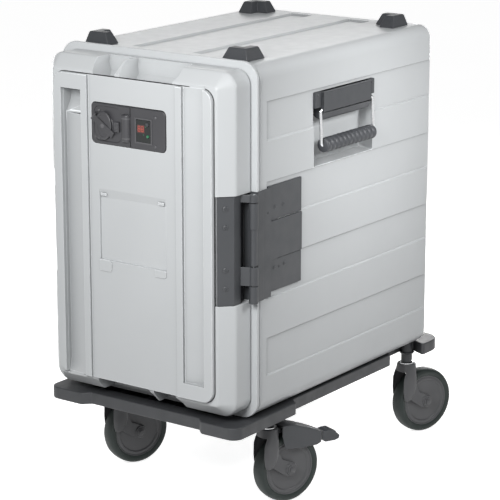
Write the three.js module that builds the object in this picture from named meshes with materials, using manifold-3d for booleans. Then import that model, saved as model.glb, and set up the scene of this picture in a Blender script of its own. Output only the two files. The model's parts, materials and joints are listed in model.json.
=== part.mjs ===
// Heated, insulated food carrier: a front-loading GN 1/1 box with a hinged door, on a four-caster trolley.
// Millimetres, +Z up, door towards -Y. Pieces are drawn with x = 0 on the box's middle plane, y = 0 on the
// front of its flange and z = 0 on the floor. The whole group is then centred on its footprint.
import * as THREE from 'three';
import { mergeVertices } from 'three/addons/utils/BufferGeometryUtils.js';
import Module from 'manifold-3d';

const wasm = await Module();
wasm.setup();

// ---------------------------------------------------------------- driving dimensions
const GAP = 0.3;                    // clearance between touching pieces

const FLANGE_HALF = 210;            // half width of the front flange
const FLANGE_BOTTOM = 187.3;
const FLANGE_TOP = 803.5;
const FLANGE_CORNER = 32;
const FLANGE_THICK = 7;
const MID_Z = (FLANGE_BOTTOM + FLANGE_TOP) / 2;

const BODY_HALF = 207;              // half width over the raised side bands
const BODY_BOTTOM = 190;
const BODY_TOP = 798;
const BODY_BACK = 560;
const BODY_CORNER = 26;
const SKIN = 5;                     // outer skin thickness

const BAND_TOP = 734.4;             // highest band line
const BAND_PITCH = 68.17;
const BAND_LINES = 8;
const BAND_STEP = 2.6;
const BAND_FRONT = 31.4;

const GROOVE_INNER = 40;            // roof grooves, from the middle plane
const GROOVE_OUTER = 90;
const GROOVE_DEPTH = 4;
const GROOVE_FRONT = 46;
const GROOVE_BACK = 530;

const CAVITY_HALF = 166;            // takes 325 mm wide pans
const CAVITY_BOTTOM = 240;
const CAVITY_TOP = 752;
const CAVITY_BACK = 533;
const CAVITY_CORNER = 14;
const LINER_WALL = 3;
const RUNNER_PITCH = 40;
const RUNNER_COUNT = 11;
const RUNNER_DEPTH = 10;
const RUNNER_HEIGHT = 7;
const RUNNER_START = 276;

const FOOT_HEIGHT = 21;
const FOOT_X = 148;
const FOOT_FRONT = 46;
const FOOT_BACK = 500;

const DOOR_HALF = 198;
const DOOR_FRONT = -65.8;
const DOOR_REAR = -1.5;
const DOOR_HEIGHT = 592.2;
const DOOR_EDGE = 23.5;             // front edge chamfer
const DOOR_CORNER = 28;
const DOOR_SKIN = 4;

const PLATE_FRONT = -73.3;
const PLATE_HALF = 169.6;
const PLATE_HEIGHT = 536.4;
const PLATE_CORNER = 21;
const CHANNEL_INNER = 108;
const CHANNEL_OUTER = 152;
const CHANNEL_SHALLOW = 5.5;
const CHANNEL_DEEP = 15;
const CHANNEL_END = 241;            // closed end of each channel, from the middle height
const PANEL_HALF = 94;              // sunk middle panel
const PANEL_SINK = 4;
const SCOOP_DEPTH = 29;
const SCOOP_LENGTH = 44;
const CARD = { x0: -72.5, x1: 71, z0: 443.5, z1: 568.8, depth: 2.4 };
const NOTCH_HALF = 93;              // pit in the door's top and bottom edge
const NOTCH_FLOOR = 38;             // depth of the pit under the door's edge

const SIDE_NOTCH = { z0: 398, z1: 586 };   // hinge and latch recesses in the door's sides

const HINGE = { x: 211, y: -12, barrel: 8, pin: 3 };
const HINGE_LEAF_BACK = 131;

const LATCH = { x: -193.5, y: -36, pin: 3, z0: 430, z1: 554 };

const CONTROL = { x: -6.6, z: 683, width: 158.4, height: 69, corner: 8 };
const LID = { x: -57, z: 680.5, width: 35, height: 49, tilt: -33.7 };
const DISPLAY = { x: 26.9, z: 679.8, width: 30.4, height: 37.6 };

const HEATER = { z: 530, half: 95, halfHeight: 112, depth: 34, fan: 50 };

const POCKET = { y0: 171, y1: 358, z0: 597.8, z1: 731, depth: 24 };
const BAIL = { x: 209.5, z: 696.5, gripX: 212, gripZ: 634, y0: 186.5, y1: 350.5, wire: 2.75, grip: 13 };

const DECK_TOP = 186;
const DECK_BOTTOM = 164;
const DECK_FRONT = -58;
const DECK_BACK = 620;
const BUMPER_HALF = 208;
const RAIL_HALF = 192;
const TRAY_FLOOR = 5;
const RAIL_WIDTH = 36;

const CASTER = {
  offset: 170, front: 88.5, back: 550, turn: -20.5, trail: 37.5,
  radius: 62.5, tread: 30, rim: 49, axle: 4.5, leg: 17, legThick: 4.5,
};

// ---------------------------------------------------------------- materials
const finish = (color, roughness, metalness = 0) =>
  new THREE.MeshStandardMaterial({ color, roughness, metalness });
const LOOK = {
  shell: finish(0xd4d8da, 0.45),
  liner: finish(0xc8ccce, 0.5),
  foam: finish(0xe8dfb8, 0.95),
  dark: finish(0x505153, 0.55),
  frame: finish(0x4a4b4e, 0.6),
  rubber: finish(0x2b2c2d, 0.85),
  tyre: finish(0x1c2a26, 0.7),
  rim: finish(0x56575a, 0.55),
  steel: finish(0xd0d2d4, 0.25, 1),
  screen: finish(0x141a18, 0.15),
  green: finish(0x2f7a4a, 0.4),
};

// ---------------------------------------------------------------- solid helpers
// Closed geometry to a solid: seams are welded, zero triangles dropped and the winding made to face out.
function solid(geometry) {
  const bare = geometry.clone();
  bare.deleteAttribute('normal');
  bare.deleteAttribute('uv');
  const merged = mergeVertices(bare, 1e-4);
  const corner = (i) => new THREE.Vector3().fromBufferAttribute(merged.attributes.position, i);
  const faces = [];
  let volume = 0;
  for (let i = 0; i < merged.index.count; i += 3) {
    const [a, b, c] = [0, 1, 2].map((k) => merged.index.getX(i + k));
    if (a === b || b === c || c === a) continue;
    faces.push([a, b, c]);
    volume += corner(a).dot(corner(b).cross(corner(c)));
  }
  const facing = volume < 0 ? faces.map(([a, b, c]) => [a, c, b]) : faces;
  return new wasm.Manifold(new wasm.Mesh({
    numProp: 3,
    vertProperties: new Float32Array(merged.attributes.position.array),
    triVerts: new Uint32Array(facing.flat()),
  }));
}

function geometryOf(body) {
  const mesh = body.getMesh();
  const geometry = new THREE.BufferGeometry();
  geometry.setAttribute('position', new THREE.BufferAttribute(mesh.vertProperties, 3));
  geometry.setIndex(new THREE.BufferAttribute(mesh.triVerts, 1));
  geometry.computeVertexNormals();
  return geometry;
}

const join = (...parts) => parts.reduce((sum, part) => sum.add(part));
const cut = (base, ...tools) => tools.reduce((rest, tool) => rest.subtract(tool), base);

function box(x0, x1, y0, y1, z0, z1) {
  const geometry = new THREE.BoxGeometry(x1 - x0, y1 - y0, z1 - z0);
  geometry.translate((x0 + x1) / 2, (y0 + y1) / 2, (z0 + z1) / 2);
  return solid(geometry);
}

const AXES = {
  x: new THREE.Matrix4().makeBasis(
    new THREE.Vector3(0, 1, 0), new THREE.Vector3(0, 0, 1), new THREE.Vector3(1, 0, 0)),
  y: new THREE.Matrix4().makeBasis(
    new THREE.Vector3(1, 0, 0), new THREE.Vector3(0, 0, 1), new THREE.Vector3(0, -1, 0)),
  z: new THREE.Matrix4(),
};

// A prism over an outline. The outline is (y, z) along x, (x, z) along y and (x, y) along z.
function prism(outline, axis, from, to, curveSegments = 5) {
  const points = (list) => list.map(([u, v]) => new THREE.Vector2(u, v));
  const shape = outline instanceof THREE.Shape ? outline : new THREE.Shape(points(outline));
  const geometry = new THREE.ExtrudeGeometry(shape, { depth: to - from, bevelEnabled: false, curveSegments });
  geometry.translate(0, 0, axis === 'y' ? -to : from);
  geometry.applyMatrix4(AXES[axis]);
  return solid(geometry);
}

function roundedRect(u0, u1, v0, v1, r) {
  const shape = new THREE.Shape();
  shape.moveTo(u0 + r, v0);
  shape.absarc(u1 - r, v0 + r, r, -Math.PI / 2, 0);
  shape.absarc(u1 - r, v1 - r, r, 0, Math.PI / 2);
  shape.absarc(u0 + r, v1 - r, r, Math.PI / 2, Math.PI);
  shape.absarc(u0 + r, v0 + r, r, Math.PI, Math.PI * 1.5);
  return shape;
}

// A turned solid: profile pairs are (radius, height), the axis is +Z before placing.
function turned(profile, segments = 16) {
  const points = profile.map(([r, h]) => new THREE.Vector2(r, h));
  return solid(new THREE.LatheGeometry(points, segments).rotateX(Math.PI / 2));
}

function rod(radius, from, to, segments = 16) {
  return turned([[0, from], [radius, from], [radius, to], [0, to]], segments);
}

// Round bar between two points.
function bar(a, b, radius, segments = 12) {
  const start = new THREE.Vector3(...a);
  const way = new THREE.Vector3(...b).sub(start);
  const geometry = new THREE.CylinderGeometry(radius, radius, way.length(), segments);
  geometry.translate(0, way.length() / 2, 0);
  geometry.applyQuaternion(new THREE.Quaternion().setFromUnitVectors(
    new THREE.Vector3(0, 1, 0), way.clone().normalize()));
  geometry.translate(start.x, start.y, start.z);
  return solid(geometry);
}

// Round bar along y through (x, z).
const barY = (x, z, radius, y0, y1, segments = 16) =>
  rod(radius, y0, y1, segments).rotate([-90, 0, 0]).translate([x, 0, z]);

const halfTurn = (body) => body.translate([0, 0, -MID_Z]).rotate([0, 180, 0]).translate([0, 0, MID_Z]);
const mirrorX = (body) => body.mirror([1, 0, 0]);

const carrier = new THREE.Group();
carrier.name = 'insulated_food_carrier';

function piece(name, look, body, parent = carrier) {
  const mesh = new THREE.Mesh(geometryOf(body), look);
  mesh.name = name;
  parent.add(mesh);
  return mesh;
}

// ---------------------------------------------------------------- box body
const bandLine = (i) => BAND_TOP - i * BAND_PITCH;

function pocketBlock(grow) {
  const { y0, y1, z0, z1, depth } = POCKET;
  const wall = 3.5 + grow;
  return box(BODY_HALF - depth - wall, BODY_HALF, y0 - wall, y1 + wall, z0 - wall, z1 + wall);
}

// Space inside the outer skin, shrunk on every side by inset.
function bodyHollow(front, inset) {
  const half = BODY_HALF - SKIN - inset;
  const bottom = BODY_BOTTOM + SKIN + inset;
  const top = BODY_TOP - SKIN - GROOVE_DEPTH - inset;
  return prism(roundedRect(-half, half, bottom, top, BODY_CORNER - SKIN - 1), 'y', front, BODY_BACK - SKIN - inset);
}

function outerShell() {
  const outline = (half, bottom, top, r) => roundedRect(-half, half, bottom, top, r);
  const neck = prism(outline(205.5, 191.5, 796.5, 25), 'y', FLANGE_THICK + GAP, 12);
  const rim = prism(outline(208.7, 188.7, 800.5, 30), 'y', 10, 14);
  const main = prism(outline(BODY_HALF, BODY_BOTTOM, BODY_TOP, BODY_CORNER), 'y', 14, BODY_BACK);
  const plan = prism(roundedRect(-BODY_HALF, BODY_HALF, -40, BODY_BACK, 12), 'z', 0, 900, 3);
  let shell = join(neck, rim, main.intersect(plan));
  shell = cut(shell, bodyHollow(0, 0));
  for (let i = 0; i < BAND_LINES; i += 2) {
    const ring = cut(
      box(-230, 230, BAND_FRONT, BODY_BACK + 20, bandLine(i + 1), bandLine(i)),
      box(-BODY_HALF + BAND_STEP, BODY_HALF - BAND_STEP, 0, BODY_BACK - BAND_STEP, 0, 900));
    shell = cut(shell, ring);
  }
  for (const side of [-1, 1]) {
    const inner = side * GROOVE_INNER;
    const outer = side * GROOVE_OUTER;
    shell = cut(shell, box(Math.min(inner, outer), Math.max(inner, outer),
      GROOVE_FRONT, GROOVE_BACK, BODY_TOP - GROOVE_DEPTH, BODY_TOP + 10));
    const skid = box(side * 140 - 20, side * 140 + 20, 20, 540, DECK_TOP + GAP, BODY_BOTTOM + 2);
    shell = join(shell, skid);
  }
  const { y0, y1, z0, z1, depth } = POCKET;
  const hollow = box(BODY_HALF - depth, BODY_HALF + 20, y0, y1, z0, z1);
  const wall = pocketBlock(0).intersect(box(0, BODY_HALF - BAND_STEP, 0, 900, 0, 900));
  for (const place of [(b) => b, mirrorX]) {
    shell = cut(join(shell, place(wall)), place(hollow));
  }
  return shell;
}

function linerOutline(grow) {
  return roundedRect(-CAVITY_HALF - grow, CAVITY_HALF + grow,
    CAVITY_BOTTOM - grow, CAVITY_TOP + grow, CAVITY_CORNER + grow);
}

function innerLiner() {
  const front = FLANGE_THICK + GAP;
  const outside = prism(linerOutline(LINER_WALL), 'y', front, CAVITY_BACK + LINER_WALL, 3);
  let inside = prism(linerOutline(0), 'y', front - 10, CAVITY_BACK, 3);
  for (let i = 0; i < RUNNER_COUNT; i += 1) {
    const z = RUNNER_START + i * RUNNER_PITCH;
    const runner = [
      [CAVITY_HALF + 1, z - RUNNER_HEIGHT], [CAVITY_HALF + 1, z],
      [CAVITY_HALF - RUNNER_DEPTH, z], [CAVITY_HALF - RUNNER_DEPTH, z - RUNNER_HEIGHT / 2],
    ];
    const right = prism(runner, 'y', 24, CAVITY_BACK - 8);
    inside = cut(inside, right, mirrorX(right));
  }
  return cut(outside, inside);
}

function foamCore() {
  const block = bodyHollow(FLANGE_THICK + 1, GAP);
  const hollow = prism(linerOutline(LINER_WALL + GAP), 'y', -10, CAVITY_BACK + LINER_WALL + GAP, 3);
  const pocket = pocketBlock(GAP);
  return cut(block, hollow, pocket, mirrorX(pocket));
}

function frontFlange() {
  const outline = roundedRect(-FLANGE_HALF, FLANGE_HALF, FLANGE_BOTTOM, FLANGE_TOP, FLANGE_CORNER);
  return cut(prism(outline, 'y', 0, FLANGE_THICK, 7), prism(linerOutline(0), 'y', -5, 20, 3));
}

// Corner foot: two tapered legs that meet at a right angle.
function stackingFoot() {
  const leg = (length, width) => {
    const side = [[0, 0], [width, 0], [width - 7, FOOT_HEIGHT], [6, FOOT_HEIGHT]];
    const run = prism(side, 'x', 0, length);
    const end = [[-1, -1], [length, -1], [length - 10, FOOT_HEIGHT + 1], [-1, FOOT_HEIGHT + 1]];
    return run.intersect(prism(end, 'y', -5, width + 5));
  };
  const along = leg(52, 30);
  const across = leg(52, 30).mirror([0, 1, 0]).rotate([0, 0, 90]);
  const corner = prism([[-1, -1], [60, -1], [60, FOOT_HEIGHT + 1], [6, FOOT_HEIGHT + 1]], 'y', -5, 60);
  return join(along, across).intersect(corner).translate([-26, -26, BODY_TOP + GAP]);
}

piece('outer_shell', LOOK.shell, outerShell());
piece('inner_liner', LOOK.liner, innerLiner());
piece('foam_core', LOOK.foam, foamCore());
piece('front_flange', LOOK.shell, frontFlange());
for (const [end, y] of [['front', FOOT_FRONT], ['back', FOOT_BACK]]) {
  for (const [side, x] of [['left', -FOOT_X], ['right', FOOT_X]]) {
    let foot = stackingFoot();
    if (side === 'right') foot = foot.mirror([1, 0, 0]);
    if (end === 'back') foot = foot.mirror([0, 1, 0]);
    piece(`stacking_foot_${end}_${side}`, LOOK.dark, foot.translate([x, y, 0]));
  }
}

// ---------------------------------------------------------------- carrying handles
// Drawn for the right side and mirrored for the left.
function handleBracket() {
  const back = BODY_HALF - POCKET.depth + GAP;
  const profile = [
    [back, 728], [back, 690], [200, 679], [208, 677], [214, 692], [214, 728],
  ];
  const cover = prism(profile, 'y', 190, 341);
  const earFront = box(back, 210, POCKET.y0 + GAP, 191, 700.5, 728);
  const earBack = box(back, 210, 340, POCKET.y1 - GAP, 700.5, 728);
  const pivot = barY(BAIL.x, BAIL.z, 3.2, 180, 360, 12);
  return cut(join(cover, earFront, earBack), pivot);
}

function handleBail() {
  const { x, z, gripX, gripZ, y0, y1, wire } = BAIL;
  const elbow = (px, py, pz) => solid(new THREE.SphereGeometry(wire + 0.25, 12, 8)).translate([px, py, pz]);
  return join(
    bar([x, 196, z], [x, y0, z], wire), elbow(x, y0, z),
    bar([x, y0, z], [gripX, y0, gripZ], wire), elbow(gripX, y0, gripZ),
    bar([gripX, y0, gripZ], [gripX, y1, gripZ], wire), elbow(gripX, y1, gripZ),
    bar([gripX, y1, gripZ], [x, y1, z], wire), elbow(x, y1, z),
    bar([x, y1, z], [x, 335, z], wire));
}

function handleGrip() {
  const { gripX, gripZ, y0, y1, wire, grip } = BAIL;
  const from = y0 + wire + 1;
  const to = y1 - wire - 1;
  const profile = [[wire + GAP, from], [grip - 2, from], [grip, from + 3], [grip, to - 3],
    [grip - 2, to], [wire + GAP, to], [wire + GAP, from]];
  return turned(profile, 16).rotate([-90, 0, 0]).translate([gripX, 0, gripZ]);
}

for (const [side, place] of [['right', (b) => b], ['left', mirrorX]]) {
  piece(`handle_bracket_${side}`, LOOK.dark, place(handleBracket()));
  piece(`handle_bail_${side}`, LOOK.steel, place(handleBail()));
  piece(`handle_grip_${side}`, LOOK.dark, place(handleGrip()));
}

// ---------------------------------------------------------------- door
const DOOR_BOTTOM = MID_Z - DOOR_HEIGHT / 2;
const DOOR_TOP = MID_Z + DOOR_HEIGHT / 2;
const PLATE_BOTTOM = MID_Z - PLATE_HEIGHT / 2;
const PLATE_TOP = MID_Z + PLATE_HEIGHT / 2;

// Rounded block with its front edges chamfered, shrunk on every side by inset.
function doorBlock(inset) {
  const edge = DOOR_EDGE - inset * (2 - Math.SQRT2);
  const round = DOOR_CORNER - DOOR_EDGE;
  const shape = roundedRect(-DOOR_HALF + inset + edge, DOOR_HALF - inset - edge,
    DOOR_BOTTOM + inset + edge, DOOR_TOP - inset - edge, round);
  const geometry = new THREE.ExtrudeGeometry(shape, {
    depth: -DOOR_FRONT, bevelThickness: edge, bevelSize: edge, bevelSegments: 1, curveSegments: 4,
  });
  geometry.applyMatrix4(AXES.y);
  geometry.computeBoundingBox();
  geometry.translate(0, DOOR_FRONT + inset - geometry.boundingBox.min.y, 0);
  return solid(geometry);
}

// Plan outline of the recess that the hinge leaf lies in, right side.
const LEAF_RECESS = [[171, -67], [171, -61.3], [190.5, -41.8], [190.5, -24],
  [181, -24], [181, 5], [205, 5], [205, -67]];
// Deeper recess for the latch, drawn on the right and mirrored.
const LATCH_RECESS = [[168.5, -67], [168.5, -52], [181, -42], [181, 5], [205, 5], [205, -67]];

const recess = (outline) => prism(outline, 'z', SIDE_NOTCH.z0, SIDE_NOTCH.z1);

// Pit in the top edge of the door: a sloped floor with a divider rib.
function edgePit() {
  const top = DOOR_TOP;
  const floor = [
    [-75, top - NOTCH_FLOOR], [-58, top - NOTCH_FLOOR], [-16, top - 9], [-16, top + 5], [-75, top + 5],
  ];
  const pit = prism(floor, 'x', -NOTCH_HALF, NOTCH_HALF);
  const rib = prism([[-40, top - 45], [-34, top - 45], [-22, top + 6], [-28, top + 6]], 'y', -80, 0);
  const leftSlope = prism([[-NOTCH_HALF - 1, top - 45], [-NOTCH_HALF + 6, top - 45],
    [-NOTCH_HALF + 20, top + 6], [-NOTCH_HALF - 1, top + 6]], 'y', -80, 0);
  return cut(pit, rib, leftSlope);
}

// Space of one grip channel in the front plate (right side, open at the top).
function channelSpace(grow, end = PLATE_TOP + 5) {
  const face = PLATE_FRONT - 5;
  const outline = [
    [CHANNEL_INNER - grow, face], [CHANNEL_INNER - grow, PLATE_FRONT + CHANNEL_SHALLOW + grow],
    [CHANNEL_OUTER + grow, PLATE_FRONT + CHANNEL_DEEP + grow], [CHANNEL_OUTER + grow, face],
  ];
  return prism(outline, 'z', MID_Z - CHANNEL_END - grow, end);
}

// Finger scoop at the closed end of the left channel.
function scoopSpace(grow) {
  const end = MID_Z + CHANNEL_END - 1 + grow;
  const outline = [
    [PLATE_FRONT - 4, end], [PLATE_FRONT - 4, end - SCOOP_LENGTH - 2 * grow],
    [PLATE_FRONT + CHANNEL_DEEP + grow, end - SCOOP_LENGTH - 2 * grow],
    [PLATE_FRONT + SCOOP_DEPTH + grow, end - SCOOP_LENGTH / 2], [PLATE_FRONT + SCOOP_DEPTH + grow, end],
  ];
  return prism(outline, 'x', -CHANNEL_OUTER + 1 - grow, -CHANNEL_INNER - 1 + grow);
}

// Everything that stands in the door's hollow: used to shape the skin and the foam round it.
function doorInserts(grow) {
  const { x, z, width, height } = CONTROL;
  const tub = box(x - width / 2 + 4 - grow, x + width / 2 - 4 + grow, -80, -26 + grow,
    z - height / 2 + 4 - grow, z + height / 2 - 4 + grow);
  const trough = channelSpace(6 + grow, PLATE_TOP + 8 + grow);
  const pit = edgePit();
  const pitBlock = box(-NOTCH_HALF - 4 - grow, NOTCH_HALF + 4 + grow, -80, -12 + grow,
    DOOR_TOP - NOTCH_FLOOR - 4 - grow, DOOR_TOP + 5);
  const z0 = SIDE_NOTCH.z0 - 4 - grow;
  const z1 = SIDE_NOTCH.z1 + 4 + grow;
  const sides = join(box(177 - grow, 205, -80, 5, z0, z1), box(166 - grow, 205, -80, -37 + grow, z0, z1));
  return { tub, trough, pit, pitBlock, sides, scoop: scoopSpace(5 + grow) };
}

function doorOuterShell() {
  const inner = doorBlock(DOOR_SKIN);
  const inserts = doorInserts(0);
  const hollow = cut(inner, inserts.trough, halfTurn(inserts.trough), inserts.scoop,
    inserts.pitBlock, halfTurn(inserts.pitBlock), inserts.sides, mirrorX(inserts.sides));
  const slot = channelSpace(3.3);
  const back = box(-250, 250, DOOR_REAR, 60, 0, 900);
  const tubHole = doorInserts(GAP).tub;
  return cut(doorBlock(0), hollow, back, slot, halfTurn(slot), scoopSpace(3.3), tubHole,
    inserts.pit, halfTurn(inserts.pit), recess(LEAF_RECESS), mirrorX(recess(LATCH_RECESS)));
}

function doorFoam() {
  const inserts = doorInserts(GAP);
  const { z, half, halfHeight, depth } = HEATER;
  const well = box(-half - 4, half + 4, -4.5 - depth - 3.5, 60, z - halfHeight - 4, z + halfHeight + 4);
  return cut(doorBlock(DOOR_SKIN + GAP), box(-250, 250, -8, 60, 0, 900), inserts.trough,
    halfTurn(inserts.trough), inserts.scoop, inserts.pitBlock, halfTurn(inserts.pitBlock),
    inserts.sides, mirrorX(inserts.sides), inserts.tub, well);
}

function doorInnerShell() {
  const { z, half, halfHeight, depth } = HEATER;
  const edge = roundedRect(-193.4, 193.4, DOOR_BOTTOM + 4.6, DOOR_TOP - 4.6, 26);
  const sheet = prism(edge, 'y', -7.5, -4.5, 3);
  const tub = box(-half - 3, half + 3, -4.5 - depth - 3, -5, z - halfHeight - 3, z + halfHeight + 3);
  const well = box(-half, half, -4.5 - depth, 20, z - halfHeight, z + halfHeight);
  const side = box(176.5, 220, -20, 20, SIDE_NOTCH.z0 - 4.5, SIDE_NOTCH.z1 + 4.5);
  const pit = box(-NOTCH_HALF - 4.5, NOTCH_HALF + 4.5, -20, -11, DOOR_TOP - NOTCH_FLOOR - 4.5, 900);
  return cut(join(sheet, tub), well, side, mirrorX(side), pit);
}

function doorSeal() {
  const ring = (half, halfHeight, r) => roundedRect(-half, half, MID_Z - halfHeight, MID_Z + halfHeight, r);
  const flap = prism(ring(175.5, 268, 18), 'y', -4.2, -0.3, 3);
  return cut(flap, prism(ring(168.5, 261, 14), 'y', -10, 5, 3));
}

function frontPlate() {
  const edge = roundedRect(-PLATE_HALF, PLATE_HALF, PLATE_BOTTOM, PLATE_TOP, PLATE_CORNER);
  const slabBack = DOOR_FRONT - GAP;
  const slab = prism(edge, 'y', PLATE_FRONT, slabBack, 5);
  const trough = channelSpace(3).intersect(box(90, 165, -80, -40, PLATE_BOTTOM + 2, PLATE_TOP - 2));
  const scoop = scoopSpace(3).intersect(box(-165, -90, slabBack - 1.5, -30, 0, 900));
  const space = channelSpace(0);
  const middle = box(-PANEL_HALF, PANEL_HALF, -90, PLATE_FRONT + PANEL_SINK, 0, 900);
  const card = box(CARD.x0, CARD.x1, -90, PLATE_FRONT + PANEL_SINK + CARD.depth, CARD.z0, CARD.z1);
  const { x, z, width, height, corner } = CONTROL;
  const opening = prism(roundedRect(x - width / 2 - GAP, x + width / 2 + GAP,
    z - height / 2 - GAP, z + height / 2 + GAP, corner + GAP), 'y', -90, -30, 3);
  return cut(join(slab, trough, halfTurn(trough), scoop), space, halfTurn(space), scoopSpace(0),
    middle, card, opening);
}

piece('door_outer_shell', LOOK.shell, doorOuterShell());
piece('door_front_plate', LOOK.shell, frontPlate());
piece('door_foam', LOOK.foam, doorFoam());
piece('door_inner_shell', LOOK.liner, doorInnerShell());
piece('door_seal', LOOK.rubber, doorSeal());

// ---------------------------------------------------------------- hinge
const hingeBarrel = (z0, z1, radius = HINGE.barrel) =>
  rod(radius, z0, z1, 20).translate([HINGE.x, HINGE.y, 0]);
const hingeBore = rod(HINGE.pin + GAP, 300, 700, 20).translate([HINGE.x, HINGE.y, 0]);

function hingeDoorLeaf() {
  const outline = [[171.3, -61.3], [173.8, -63.8], [194, -43.6], [194, -24.3], [190.8, -24.3], [190.8, -41.5]];
  const leaf = prism(outline, 'z', SIDE_NOTCH.z0 + GAP, SIDE_NOTCH.z1 - GAP);
  const armOutline = [
    [190.8, -27], [HINGE.x - 2, HINGE.y - 7.5], [HINGE.x, HINGE.y + 2], [193.9, -24.3], [190.8, -24.3],
  ];
  const knuckle = (z0, z1) => join(prism(armOutline, 'z', z0, z1), hingeBarrel(z0, z1));
  return cut(join(leaf, knuckle(572, 585.6), knuckle(429, 462)), hingeBore);
}

function hingeBodyLeaf() {
  const back = HINGE_LEAF_BACK;
  const plate = join(
    box(BODY_HALF - BAND_STEP + GAP, 209.4, BAND_FRONT + 1, back, 406, bandLine(4) - GAP),
    box(BODY_HALF + GAP, 211, 15, back, bandLine(4) + GAP, bandLine(3) - GAP),
    box(BODY_HALF - BAND_STEP + GAP, 209.4, BAND_FRONT + 1, back, bandLine(3) + GAP, 590),
    box(BODY_HALF + GAP, 209.4, 15, back, bandLine(4) - 1, bandLine(3) + 1),
    box(209.1, 211, 14, 40, 398, 588));
  const bridge = box(FLANGE_HALF + GAP, 213.5, -12, 16, 398, 588);
  const knuckles = join(hingeBarrel(398, 428.5), hingeBarrel(462.5, 527, 6.2), hingeBarrel(526, 571.5));
  const room = join(hingeBarrel(428.5, 462.5, HINGE.barrel + 0.6), hingeBarrel(571.5, 600, HINGE.barrel + 0.6));
  return cut(join(plate, cut(bridge, room), knuckles), hingeBore);
}

piece('hinge_door_leaf', LOOK.dark, hingeDoorLeaf());
piece('hinge_body_leaf', LOOK.dark, hingeBodyLeaf());
piece('hinge_pin', LOOK.steel, rod(HINGE.pin, 398.5, 585, 20).translate([HINGE.x, HINGE.y, 0]));

// ---------------------------------------------------------------- latch, left side
function latchBracket() {
  const outline = [[-181.3, -41.5], [-190, -43], [-196.8, -38], [-196.8, -31], [-190, -26], [-181.3, -26]];
  const ears = join(
    prism(outline, 'z', LATCH.z0 - 7, LATCH.z0 - 1),
    prism(outline, 'z', LATCH.z1 + 1, LATCH.z1 + 7));
  const strip = box(-184.3, -181.3, -41.5, -26, LATCH.z0 - 7, LATCH.z1 + 7);
  const bore = rod(LATCH.pin + GAP, 400, 600).translate([LATCH.x, LATCH.y, 0]);
  return cut(join(ears, strip), bore);
}

function latchLever() {
  const outline = [
    [-174.5, -60], [-178.5, -61], [-190.5, -49], [-196, -42], [-198.3, -36], [-198.3, -9.5], [-204, -7.5],
    [-203.5, -3.8], [-193.5, -3.8], [-193.5, -20], [-189, -32], [-188.5, -42], [-186, -47],
  ];
  const blade = prism(outline.reverse(), 'z', LATCH.z0, LATCH.z1);
  const pin = rod(LATCH.pin, LATCH.z0 - 6.5, LATCH.z1 + 6.5).translate([LATCH.x, LATCH.y, 0]);
  return join(blade, pin);
}

function latchKeeper() {
  const back = HINGE_LEAF_BACK;
  const plate = join(
    box(BODY_HALF - BAND_STEP + GAP, 209.4, BAND_FRONT + 1, back, 406, bandLine(4) - GAP),
    box(BODY_HALF + GAP, 211, 15, back, bandLine(4) - 1, bandLine(3) + 1),
    box(BODY_HALF - BAND_STEP + GAP, 209.4, BAND_FRONT + 1, back, bandLine(3) + GAP, 590),
    box(209.1, 211, 14.5, 40, 406, 588));
  const bridge = box(FLANGE_HALF + GAP, 213.5, -15.5, 16, 424, 560);
  const bar = box(206.5, 213.5, -15.5, -11.6, 424, 560);
  const window = box(200, 220, -11.5, -1, LATCH.z0 - 1, LATCH.z1 + 1);
  return mirrorX(join(plate, cut(bridge, window), bar));
}

piece('latch_bracket', LOOK.dark, latchBracket());
piece('latch_lever', LOOK.dark, latchLever());
piece('latch_keeper', LOOK.dark, latchKeeper());

// ---------------------------------------------------------------- control panel in the door
const LID_FRONT = -76;
const BEZEL_FRONT = -71;
const onLid = (body) => body.rotate([0, -LID.tilt, 0]).translate([LID.x, 0, LID.z]);

function ellipse(x, z, halfWidth, halfHeight) {
  const shape = new THREE.Shape();
  shape.absellipse(x, z, halfWidth, halfHeight, 0, 2 * Math.PI, false, 0);
  return shape;
}

function controlBezel() {
  const { x, z, width, height, corner } = CONTROL;
  const face = prism(roundedRect(x - width / 2, x + width / 2, z - height / 2, z + height / 2, corner),
    'y', BEZEL_FRONT, -67, 3);
  const tubOuter = box(x - width / 2 + 4, x + width / 2 - 4, -68, -28, z - height / 2 + 4, z + height / 2 - 4);
  const tubInner = box(x - width / 2 + 7, x + width / 2 - 7, -67.5, -20, z - height / 2 + 7, z + height / 2 - 7);
  const bulge = rod(9, z - 25, z + 23, 16).translate([-10, -69, 0]);
  const bulgeFront = bulge.intersect(box(-40, 30, -90, -68, 0, 900));
  const catchPad = box(-34.5, -24.8, BEZEL_FRONT - 2.2, -68, 671.6, 689);
  const lug = onLid(join(
    box(-28.4, -23, -75.6, -69, 4.6, 7.2), box(-28.4, -23, -75.6, -69, -7.2, -4.6)));
  const window = box(DISPLAY.x - DISPLAY.width / 2 - GAP, DISPLAY.x + DISPLAY.width / 2 + GAP, -90, -20,
    DISPLAY.z - DISPLAY.height / 2 - GAP, DISPLAY.z + DISPLAY.height / 2 + GAP);
  const inlet = barY(LID.x, LID.z, 15 + GAP, -90, -20, 24);
  return cut(join(face, cut(tubOuter, tubInner), bulgeFront, catchPad, lug), window, inlet);
}

function inletSocket() {
  const cup = cut(barY(LID.x, LID.z, 15, -70.6, -44, 24), barY(LID.x, LID.z, 12, -75, -48, 24));
  const pins = [[-5, 3], [5, 3], [0, -5]].map(([dx, dz]) => barY(LID.x + dx, LID.z + dz, 1.8, -62, -47, 10));
  return join(cup, ...pins);
}

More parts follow.
